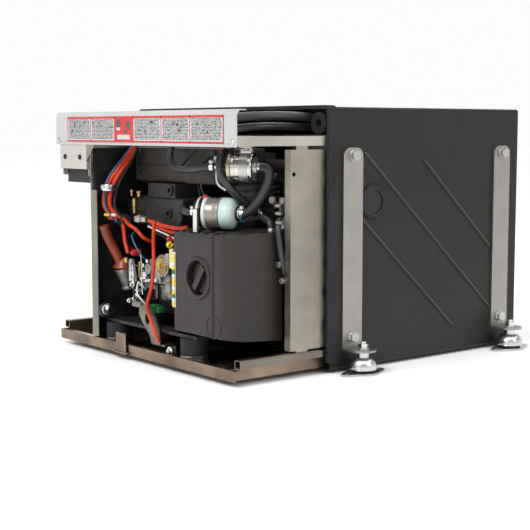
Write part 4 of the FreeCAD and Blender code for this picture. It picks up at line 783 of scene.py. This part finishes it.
def wiring():
    """The main loom as separate leads through a metal clip, its branches, ends and terminals."""
    runs = (
        ("loom_red_front", 3.4, "lead_orange", [
            (-100, 60, 303), (-104, 42, 280), (-110, 20, 252), (-113, 12, 228), (-110, 14, 208),
            (-100, 28, 196)
        ]),
        ("loom_red_back", 3.4, "lead_orange", [
            (-97, 64, 303), (-100, 46, 280), (-105, 26, 252), (-106, 18, 228), (-104, 18, 210),
            (-96, 32, 199)
        ]),
        ("loom_grey", 3.2, "hose_rubber", [
            (-108, 62, 303), (-112, 42, 280), (-114, 21, 254), (-110, 17, 228), (-106, 20, 208),
            (-104, 38, 196)
        ]),
        ("loom_blue", 1.5, "blue", [
            (-104, 58, 303), (-108, 38, 282), (-110, 14, 252), (-108, 10, 228), (-104, 13, 206),
            (-98, 26, 192)
        ]),
        ("loom_black", 2.4, "black_rubber", [
            (-94, 62, 303), (-100, 50, 276), (-102, 32, 250), (-101, 24, 228), (-100, 24, 208),
            (-92, 34, 198)
        ]),
        ("lead_drop_red", 2.8, "lead_orange", [
            (-100, 36, 194), (-92, 34, 184), (-84, 30, 172), (-78, 28, 160), (-70, 27, 148)
        ]),
        ("lead_drop_thin", 1.6, "lead_orange", [
            (-104, 38, 192), (-97, 36, 176), (-91, 34, 162), (-90, 37, 154), (-98, 56, 150)
        ]),
        ("lead_link", 2.6, "lead_orange", [
            (-104, 42, 195), (-92, 34, 198), (-78, 28, 196), (-58, 22, 190), (-36, 20, 186),
            (-20, 24, 171), (-28, 46, 166)
        ]),
        ("lead_upright", 2.6, "lead_orange", [
            (13, 19, 200), (16, 15, 185), (18, 14, 160), (18, 14, 132), (14, 12, 102), (8, 6, 78),
            (26, 5, 56), (40, 6, 32)
        ]),
        ("lead_level", 2.8, "lead_orange", [
            (-24, 34, 198), (0, 38, 193), (26, 42, 190), (44, 44, 190), (57, 46, 193)
        ]),
        (
            "lead_level_low", 2.4, "lead_orange",
            [(-24, 38, 194), (0, 40, 187), (26, 42, 183), (48, 46, 184)]
        ),
        (
            "lead_level_pale", 1.2, "clip_plastic",
            [(-26, 34, 190), (0, 36, 184), (22, 38, 179), (42, 40, 173)]
        ),
        ("lead_black_a", 2.2, "black_rubber", [
            (-20, 36, 188), (4, 40, 186), (24, 44, 178), (38, 48, 166)
        ]),
        ("lead_black_b", 2.0, "black_rubber", [
            (-22, 40, 182), (0, 44, 178), (18, 40, 170), (26, 36, 158)
        ]),
        ("lead_blue_low", 1.3, "blue", [
            (-70, 46, 181), (-61, 27, 178), (-48, 22, 168), (-38, 24, 154), (-31, 32, 140), (-40, 50, 136)
        ]),
        ("lead_plug_a", 1.4, "black_rubber", [
            (-14, 20, 72), (-24, 14, 80), (-34, 12, 92), (-44, 20, 100)
        ]),
        ("lead_plug_b", 1.4, "clip_plastic", [
            (-14, 22, 76), (-22, 16, 86), (-30, 14, 96), (-38, 24, 108)
        ]),
    )
    for name, radius, slot, points in runs:
        tube(
            name, [D(*p) for p in points], radius, slot,
        )
    for node in ("wiring_loom", "leads"):
        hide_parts(node)
    clip = bmesh.new()
    lathe(clip, D(-109, 19, 239), "z", [(0, 9.6), (0, 11.4), (1, 12), (8, 12), (9, 11.4), (9, 9.6)], 36)
    hexagon(clip, D(-96, 10, 244), "y", 5, 3)
    piece("loom_clip", clip, "zinc")
    for i in range(6):
        along = i / 6
        piece(f"grommet_rib_{i}", turned(
            D(-104 + 9 * along, 40 - 3 * along, 194 - 2 * along), "x",
            [(0, 8.6), (0.2, 10.4), (1.2, 10.4), (1.4, 8.6)], 32
        ), "hose_rubber")
    piece("grommet", turned(
        D(-104, 40, 194), "x", [(-1, 8), (0, 9), (10, 9), (11, 8)], 32
    ), "hose_rubber")
    for i, (x, y, z, slot) in enumerate((
        (-111, 24, 200, "clip_plastic"), (-103, 18, 198, "label_red"), (-97, 20, 203, "clip_plastic"),
        (-106, 14, 203, "yellow")
    )):
        piece(
            f"splice_{i}", turned(D(x, y, z), "x", [(-5, 1.4), (-5, 2.4), (4, 2.4), (5, 1.6)], 16), slot,
        )


def connectors():
    """Plugs, caps and small fittings of the engine bay."""
    plug = bmesh.new()
    block(plug, D(-51, 26, 195), D(-38, 42, 204))
    block(plug, D(-38, 28, 196), D(-26, 40, 203))
    block(plug, D(-47, 25.2, 197), D(-40, 27, 202))
    block(plug, D(-50, 30, 203.6), D(-42, 38, 205.4))
    piece("plug_silver", plug, "brushed_zinc", ("connectors",), bevel=0.7)
    green = bmesh.new()
    block(green, D(-12, 22, 66), D(6, 36, 78))
    block(green, D(6, 23.5, 67.5), D(14, 34.5, 76.5))
    block(green, D(-8, 21, 69), D(-1, 23, 75))
    piece("plug_green", green, "green_plastic", bevel=0.8)
    piece("cap_red", turned(D(-68, 46, 148), "y", [
        (0, 5.2), (-8, 5), (-12, 4.4), (-14.5, 3), (-15, 1.2)
    ], 32), "label_red")
    brass = bmesh.new()
    lathe(brass, D(-70, 48, 110), "z", [(0, 2.6), (8, 2.8), (9, 3.4), (20, 3.2), (24, 2.6)], 24)
    lathe(brass, D(-81, 31, 132), "z", [(0, 3.4), (1, 4.4), (7, 4.4), (8.4, 3.4), (9, 2)], 28)
    lathe(brass, D(-103, 56, 230), "z", [(0, 2.4), (5, 2.4), (5.4, 3.4), (9, 3.4), (10, 2.2)], 24)
    lathe(brass, D(-83, 56, 230), "z", [(0, 3.2), (4, 3.4), (5, 4.2), (7.6, 4.2), (8.4, 3)], 24)
    lathe(brass, D(-98, 57, 204), "z", [(0, 3.2), (10, 3.4), (11, 4.2), (22, 4.2), (23, 3)], 24)
    piece("brass_fittings", brass, "brass")
    piece("bung_black", turned(D(-112, 10, 60), "x", [
        (0, 6), (0.4, 10.6), (2, 11.4), (8, 11.4), (9.5, 10), (10, 8), (20, 7.4), (21, 5)
    ], 40), "black_plastic")
    shiny = bmesh.new()
    lathe(shiny, D(-101, 8, 62), "x", [(0, 8.4), (2.4, 8.8), (3, 8)], 32)
    hexagon(shiny, D(-92, 6, 66), "y", 8, -4)
    lathe(shiny, D(62, 8, 21), "y", [(3, 6.4), (1.6, 6.6), (1.4, 3.4), (-2, 3.2)], 24)
    lathe(shiny, D(-57, 22, 79), "y", [(0, 3.6), (-3, 3.6), (-3.4, 2.4), (-5, 2)], 20)
    block(shiny, D(-46, 20, 79), D(-34, 25, 91))
    lathe(shiny, D(-40, 20, 84), "y", [(0, 4), (-2, 4), (-2.4, 2.6), (-5, 2.2)], 20)
    lathe(shiny, D(-44, 22, 96), "x", [(0, 2), (10, 2), (10.4, 3.4), (14, 3.4)], 20)
    piece("bay_hardware", shiny, "zinc")


# ---------------------------------------------------------------- carburettor and controls


def carburettor():
    """The carburettor's casting, ducts, gold choke disc, vent, screws, links, spring and choke stay."""
    casting = bmesh.new()
    lathe(casting, D(25, 36, 137), "y", [(0, 14), (-8, 14), (-10, 16.4), (-13, 16.4), (-13.6, 15.4)], 44)
    lathe(casting, D(4, 56, 84), "z", [
        (-2, 5), (-1.4, 12), (0, 15.4), (3, 17), (18, 17), (19, 18.4), (22, 18.4)
    ], 48)
    block(casting, D(-26, 36, 108), D(20, 84, 142))
    block(casting, D(-14, 30, 112), D(10, 38, 134))
    block(casting, D(22, 32, 112), D(40, 44, 124))
    lathe(casting, D(-22, 32, 128), "y", [(3, 8), (-2, 8), (-3, 6.8)], 28)
    lathe(casting, D(31, 36, 98), "z", [(0, 7), (10, 8.4), (18, 8.4), (20, 7)], 28)
    piece("carb_casting", casting, "cast_alloy", ("carburettor",), bevel=1.1)
    neck = bmesh.new()
    lathe(neck, D(20, 86, 122), "x", [(0, 9), (36, 9), (37, 10.5), (40, 10.5)], 36)
    lathe(neck, D(-8, 82, 126), "y", [(0, 11), (40, 11), (41, 14), (47, 14)], 36)
    piece("carb_ducts", neck, "black_rubber")
    piece("choke_disc", turned(D(25, 22.3, 137), "y", [
        (0, 12.8), (-1.4, 12.4), (-1.6, 11.2), (-0.5, 9.4), (-0.4, 3.4), (-1.8, 2.8)
    ], 44), "brass")
    pale = bmesh.new()
    lathe(pale, D(40, 26, 100), "z", [(0, 4), (1, 6.4), (12, 7.2), (20, 6.4), (22, 4)], 28)
    lathe(pale, D(40, 24, 138), "z", [(0, 3.4), (1, 5), (16, 5.4), (18, 3.6)], 24)
    piece("float_vent", pale, "cast_alloy")
    screws = bmesh.new()
    for x, z in ((14, 124), (36, 148), (-16, 112), (2, 114), (6, 132), (-20, 140)):
        lathe(screws, D(x, 29, z), "y", [(0, 3), (-2, 3), (-2.6, 2.2)], 20)
    for x, z in ((-30, 118), (-36, 132), (-40, 112)):
        hexagon(screws, D(x, 34, z), "y", 6.5, -4)
    block(screws, D(-44, 33, 108), D(-28, 35, 122))
    piece("carb_screws", screws, "zinc")
    carburettor_end, lever_end = D(-28, 30, 112), D(-74, 43.4, 129)
    link = tube("link_throttle", [
        D(-80, 43.4, 130), D(-62, 43.8, 125), D(-48, 43.4, 119.5), D(-38, 38, 116), carburettor_end
    ], 1.0, "brushed_zinc", None)
    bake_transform(link)
    tube(
        "link_governor", [D(-34, 26, 148), D(-28, 24, 132), D(-26, 22, 112), D(-18, 18, 92)], 0.9,
        "brushed_zinc"
    )
    coil("governor_spring", D(-56, 38, 104), D(-36, 34, 98), 2.4, 0.6, 11, "brushed_zinc")
    stay = bmesh.new()
    lean = Matrix.Rotation(math.radians(-16), 4, "Y")
    block(stay, D(-71, 37, 104), D(-66, 39, 138), lean)
    lathe(stay, D(-66, 38, 108), "y", [(0, 4), (-2, 4), (-2.6, 3)], 24)
    piece("choke_stay", stay, "plate_steel", bevel=0.6)


def throttle_lever():
    """The throttle lever's bright strip with three holes, and its pivot's nut."""
    outline = rounded([(-6.5, -6), (6.5, -6), (6.5, 38), (-6.5, 38)], 6, 8)
    holes = [oval(0, rise, 2.2, 2.2) for rise in (11, 21, 31)]
    plate = placed(
        flat_plate([outline, oval(0, 0, 3.2, 3.2)] + holes, 2.0), D(-82, 41, 99), (1, 0, 0), (0, 0, 1)
    )
    piece("lever_strip", plate, "matt_zinc", ("throttle_lever",), body="throttle_lever")
    piece(
        "lever_pivot_nut",
        turned(D(-82, 39.8, 99), "y", [(0, 5.6), (-1, 5.6), (-1.2, 4), (-3, 4), (-3.6, 2.6)], 28), "zinc",
        body="throttle_lever"
    )


def control_bracket():
    """The curved control plate with its oval eye, its foot, and the arm to the lever's post."""
    outline = rounded([
        (4, 84), (-6, 79), (-15, 73), (-16, 64), (-7, 54), (2, 45), (12, 36), (16, 25), (38, 25),
        (34, 48), (26, 62), (17, 72), (10, 80)
    ], 4, 4)
    eye = oval(5.6, 60.6, 5.6, 8.6, 24)
    plate = placed(flat_plate([outline, eye], 3.0), D(0, 11.5, 0), (1, 0, 0), (0, 0, 1))
    piece("control_plate", plate, "plate_steel", ("control_bracket",))
    arm = bmesh.new()
    block(arm, D(26, 12, 24), D(46, 34, 27))
    block(arm, D(26, 31, 5.6), D(46, 34, 27))
    block(arm, D(-82, 52, 95), D(-34, 55, 103))
    block(arm, D(-36, 13, 74), D(-30, 55, 82))
    block(arm, D(-36, 52, 74), D(-30, 55, 103))
    block(arm, D(-36, 11, 74), D(-12, 13, 82))
    lathe(arm, D(-82, 38, 99), "y", [(0, 3), (17, 3)], 24)
    piece("control_arm", arm, "plate_steel", bevel=0.5)


def panel_screws():
    """The panel's two bright screws and the junction box's two dark ones."""
    for name, places, slot, nodes in (
        ("corner_screws", ((-221, 0, 313), (221, 0, 313)), "zinc", ("panel_screws",)),
        ("junction_screws", ((-206, 2, 288), (-162, 2, 288)), "well_plastic", ()),
    ):
        heads = bmesh.new()
        for place in places:
            lathe(heads, D(*place), "y", [(0, 4), (-1.4, 3.8), (-2.2, 2.6)], 24)
        piece(name, heads, slot, nodes)


def oil_filler():
    """The oil filler: a red rubber tube and flange above a grey cast neck."""
    tube(
        "filler_tube", [D(-108, 10, 187), D(-108, 14, 172), D(-108, 28, 148), D(-108, 43, 121)], 7.4,
        "red_rubber", stands_for=("oil_filler",)
    )
    lean = Vector((0, 9, -34)).normalized()
    piece("filler_collar", turned(
        D(-108, 42.6, 136), -Vector((0, 0, 1)),
        [(0, 8), (1, 10.6), (8, 12.6), (12, 15.4), (13.6, 16), (14.6, 15.2)], 48
    ), "red_rubber")
    neck = bmesh.new()
    lathe(neck, D(-108, 43, 121.6), lean, [
        (0, 13), (1, 13.6), (4, 13), (20, 10.4), (33, 8.6), (34.6, 7.6)
    ], 48)
    lathe(neck, D(-108, 50.2, 95), lean, [(0, 9.6), (1, 10.6), (4, 10.6), (5, 9.4)], 48)
    piece("filler_neck", neck, "cast_alloy")


def colour_strip():
    """The strip of coloured tags beside the air box's left edge."""
    for i in range(13):
        z = 86 + i * 5.6
        tag = bmesh.new()
        block(tag, D(65.4, 11.9, z), D(71.6, 13.7, z + 5.0))
        slot = ("yellow", "clip_plastic", "green_plastic", "yellow", "clip_plastic", "yellow")[i % 6]
        piece(f"tag_{i:02}", tag, slot, bevel=0.4)
    piece("tag_rail", boxed(D(64.8, 13.4, 84), D(72.2, 14.4, 161)), "clip_plastic")
    coil("ring_yellow", D(50, 18, 171), D(54, 18, 168), 3.6, 1.1, 2, "yellow")
    coil("ring_red", D(48, 20, 179), D(53, 19, 176), 3.2, 1.0, 2, "label_red")
    piece(
        "tag_pale", boxed(D(50, 18, 136), D(57, 24, 164)), "pale_yellow",
        bevel=1.8
    )


# ---------------------------------------------------------------- air box


def air_box_details():
    """The air box's moulded ring round the knob, pressed ring, lid bead, front ridge and clips."""
    piece("knob_ring", turned(D(125, 14.2, 130), "y", [
        (0, 23.6), (-2.0, 23.8), (-3.2, 24.8), (-3.4, 27.0), (-2.6, 28.8), (-1.0, 29.8), (0, 30.2)
    ], 80, hollow=True), "airbox_plastic")
    piece("pressed_ring", turned(
        D(160, 14.2, 67), "y", [(0, 14.2), (-1.0, 14.6), (-1.0, 15.8), (0, 16.2)], 56, hollow=True
    ), "airbox_plastic")
    lip = [
        (62, 26, 189.6), (66, 16, 189), (80, 13.2, 188.6), (110, 13, 188.6), (140, 13, 188.6),
        (166, 14, 188.8), (186, 22, 189.4), (199, 38, 190.4), (200.5, 60, 192)
    ]
    tube("lid_bead", [D(*p) for p in lip], 1.6, "airbox_plastic")
    tube("cover_ridge", [D(157, 14.6, 187), D(157, 14.6, 54)], 2.8, "airbox_plastic")
    clips = bmesh.new()
    for x, y, z in ((84, 14, 189), (98, 14, 189), (131, 14, 189), (152, 14, 189), (172, 17, 189)):
        block(clips, D(x, y - 1.6, z - 1), D(x + 7, y + 5, z + 3.2))
    for x in (74, 112, 143):
        block(clips, D(x, 30, 190.4), D(x + 14, 38, 193.4))
    piece("lid_clips", clips, "airbox_plastic", bevel=0.6)


# ---------------------------------------------------------------- silencer, ducts and small hardware


def case_ribs():
    """The pressed stiffening ribs of both side walls, each a bead with a thin line of lighter paint along
    its upper side, a painted highlight.
    """
    for side, tag in ((-1, "left"), (1, "right")):
        x = side * (CASE_HALF - 2.7)
        for i, (start, end) in enumerate((
            ((62, 297), (325, 60)), ((179, 285), (322, 154)), ((59, 204), (243.5, 39))
        )):
            tube(f"rib_{tag}_{i}", [C(x, *start), C(x, *end)], 3.7, "case_paint", "case")
            # A thin tube of lighter paint raised toward the upper side of each bead: a painted highlight.
            highlight_line = [C(x + side * 2.9, y, z + 1.2) for y, z in (start, end)]
            tube(f"rib_painted_highlight_{tag}_{i}", highlight_line, 1.0, "rib_highlight_paint", "case")


def side_plug():
    """The side plug's thick rolled ring and its dished middle."""
    wall = CASE_HALF - 1.3
    piece("plug_ring", turned(C(wall, 79.8, 229.6), "x", [
        (0, 25.4), (1.4, 25.6), (2.8, 24.6), (3.2, 22.6), (2.6, 20.4), (1.0, 19.4), (0, 19.2)
    ], 72, hollow=True), "black_rubber", body="case")
    piece("plug_dish", turned(C(wall, 79.8, 229.6), "x", [
        (-1.6, 19), (0.2, 18.8), (0.4, 17), (0.1, 10), (0.5, 4)
    ], 64), "black_plastic", body="case")


def duct_details():
    """Bolts and a seam of the cooling duct, two cables, drain fittings and the mounts' washers."""
    bolts = bmesh.new()
    for x, y, z in ((-104, 72.4, 296), (84, 72.4, 296), (-104, 72.4, 260), (84, 72.4, 260)):
        hexagon(bolts, D(x, y, z), "y", 7, -3.4)
    piece("silencer_bolts", bolts, "silencer_grey")
    piece("silencer_seam", boxed(D(-118, 71.9, 276.8), D(96, 73.4, 278)), "silencer_grey", bevel=0.3)
    tube(
        "cable_back",
        [D(*p) for p in [(50, 70, 250), (58, 66, 240), (64, 64, 230), (70, 66, 224), (78, 82, 222)]], 1.4,
        "black_rubber"
    )
    tube(
        "cable_dark", [D(*p) for p in [(60, 58, 300), (48, 56, 292), (34, 58, 284), (20, 62, 276)]], 1.6,
        "black_rubber"
    )
    stack = bmesh.new()
    for i, (x, y, z) in enumerate(((196, 96, 226), (202, 92, 216), (205, 90, 204))):
        lathe(stack, D(x, y, z), "z", [(0, 4.2), (0.6, 5.6), (4, 5.6), (4.6, 4.2)], 24)
    lathe(stack, D(188, 112, 196), "z", [(0, 6.8), (40, 6.8), (42, 6)], 24)
    hexagon(stack, D(196, 88, 236), "y", 9, -5)
    hexagon(stack, D(206, 90, 150), "y", 8, -4)
    hexagon(stack, D(208, 94, 128), "y", 8, -4)
    piece("drain_fittings", stack, "cast_alloy")
    washers = bmesh.new()
    for x in (-97, 97):
        lathe(washers, D(x, 28, 18.4), "z", [(0, 14), (0, 20.5), (1.6, 20.5), (1.8, 14)], 40)
        hexagon(washers, D(x, 6, 12), "y", 10, -5)
    piece("mount_washers", washers, "zinc")


print_label()
fuel_pump()
fuel_filter()
wiring()
connectors()
carburettor()
throttle_lever()
control_bracket()
oil_filler()
panel_screws()
colour_strip()
air_box_details()
case_ribs()
side_plug()
duct_details()


# ---------------------------------------------------------------- camera, light and floor


CAMERA_TURN, CAMERA_RISE = 51.119, 6.352
CAMERA_LENS = 82.9
CAMERA_PLACE = Vector((1.4563, -1.2957, 0.3340))


def studio():
    """The camera, the soft lights, the pale surroundings and the floor."""
    turn, rise = math.radians(CAMERA_TURN), math.radians(CAMERA_RISE)
    back = Vector((math.sin(turn) * math.cos(rise), -math.cos(turn) * math.cos(rise), math.sin(rise)))
    camera = bpy.data.objects.new("camera", bpy.data.cameras.new("camera"))
    camera.data.sensor_width = 36
    camera.data.lens = CAMERA_LENS
    camera.data.clip_start = 0.02
    camera.location = CAMERA_PLACE
    camera.rotation_euler = back.to_track_quat("Z", "Y").to_euler()
    bpy.context.scene.collection.objects.link(camera)
    bpy.context.scene.camera = camera

    world = bpy.data.worlds.new("surroundings")
    world.use_nodes = True
    tree = world.node_tree
    place = tree.nodes.new("ShaderNodeTexCoord")
    split = tree.nodes.new("ShaderNodeSeparateXYZ")
    ramp = tree.nodes.new("ShaderNodeValToRGB")
    ramp.color_ramp.elements[0].position = 0.22
    ramp.color_ramp.elements[0].color = (0.97, 0.97, 0.97, 1)
    ramp.color_ramp.elements[1].position = 0.6
    ramp.color_ramp.elements[1].color = (0.30, 0.31, 0.32, 1)
    tree.links.new(place.outputs["Generated"], split.inputs["Vector"])
    tree.links.new(split.outputs["Z"], ramp.inputs["Fac"])
    tree.links.new(ramp.outputs["Color"], tree.nodes["Background"].inputs["Color"])
    bpy.context.scene.world = world

    for name, place, width, power in (
        (
            "key", (0.5, -2.0, 1.7), 0.9, 34
        ), ("side", (2.2, 0.3, 1.3), 0.9, 12), ("far", (-2.0, 1.4, 1.2), 1.4, 16),
    ):
        lamp = bpy.data.lights.new(name, "AREA")
        lamp.shape = "DISK"
        lamp.size = width
        lamp.energy = power
        holder = bpy.data.objects.new(name, lamp)
        holder.location = place
        holder.rotation_euler = (Vector(place) - Vector((0, -0.1, 0.15))).to_track_quat("Z", "Y").to_euler()
        bpy.context.scene.collection.objects.link(holder)

    sky = bpy.data.lights.new("overhead", "SUN")
    sky.energy = 2.3
    sky.angle = math.radians(100)
    bpy.context.scene.collection.objects.link(bpy.data.objects.new("overhead", sky))

    ground = bmesh.new()
    bmesh.ops.create_grid(ground, x_segments=2, y_segments=2, size=14)
    data = bpy.data.meshes.new("floor")
    ground.to_mesh(data)
    ground.free()
    floor = bpy.data.objects.new("floor", data)
    bpy.context.scene.collection.objects.link(floor)
    data.materials.append(finish(
        "pale_floor", (0.86, 0.86, 0.86), (0.75, 0.85), contrast=0.015, mottle=0.6, grain=60, bump=0.02
    ))


studio()
bpy.context.scene.view_settings.view_transform = "Standard"

bpy.context.view_layer.update()
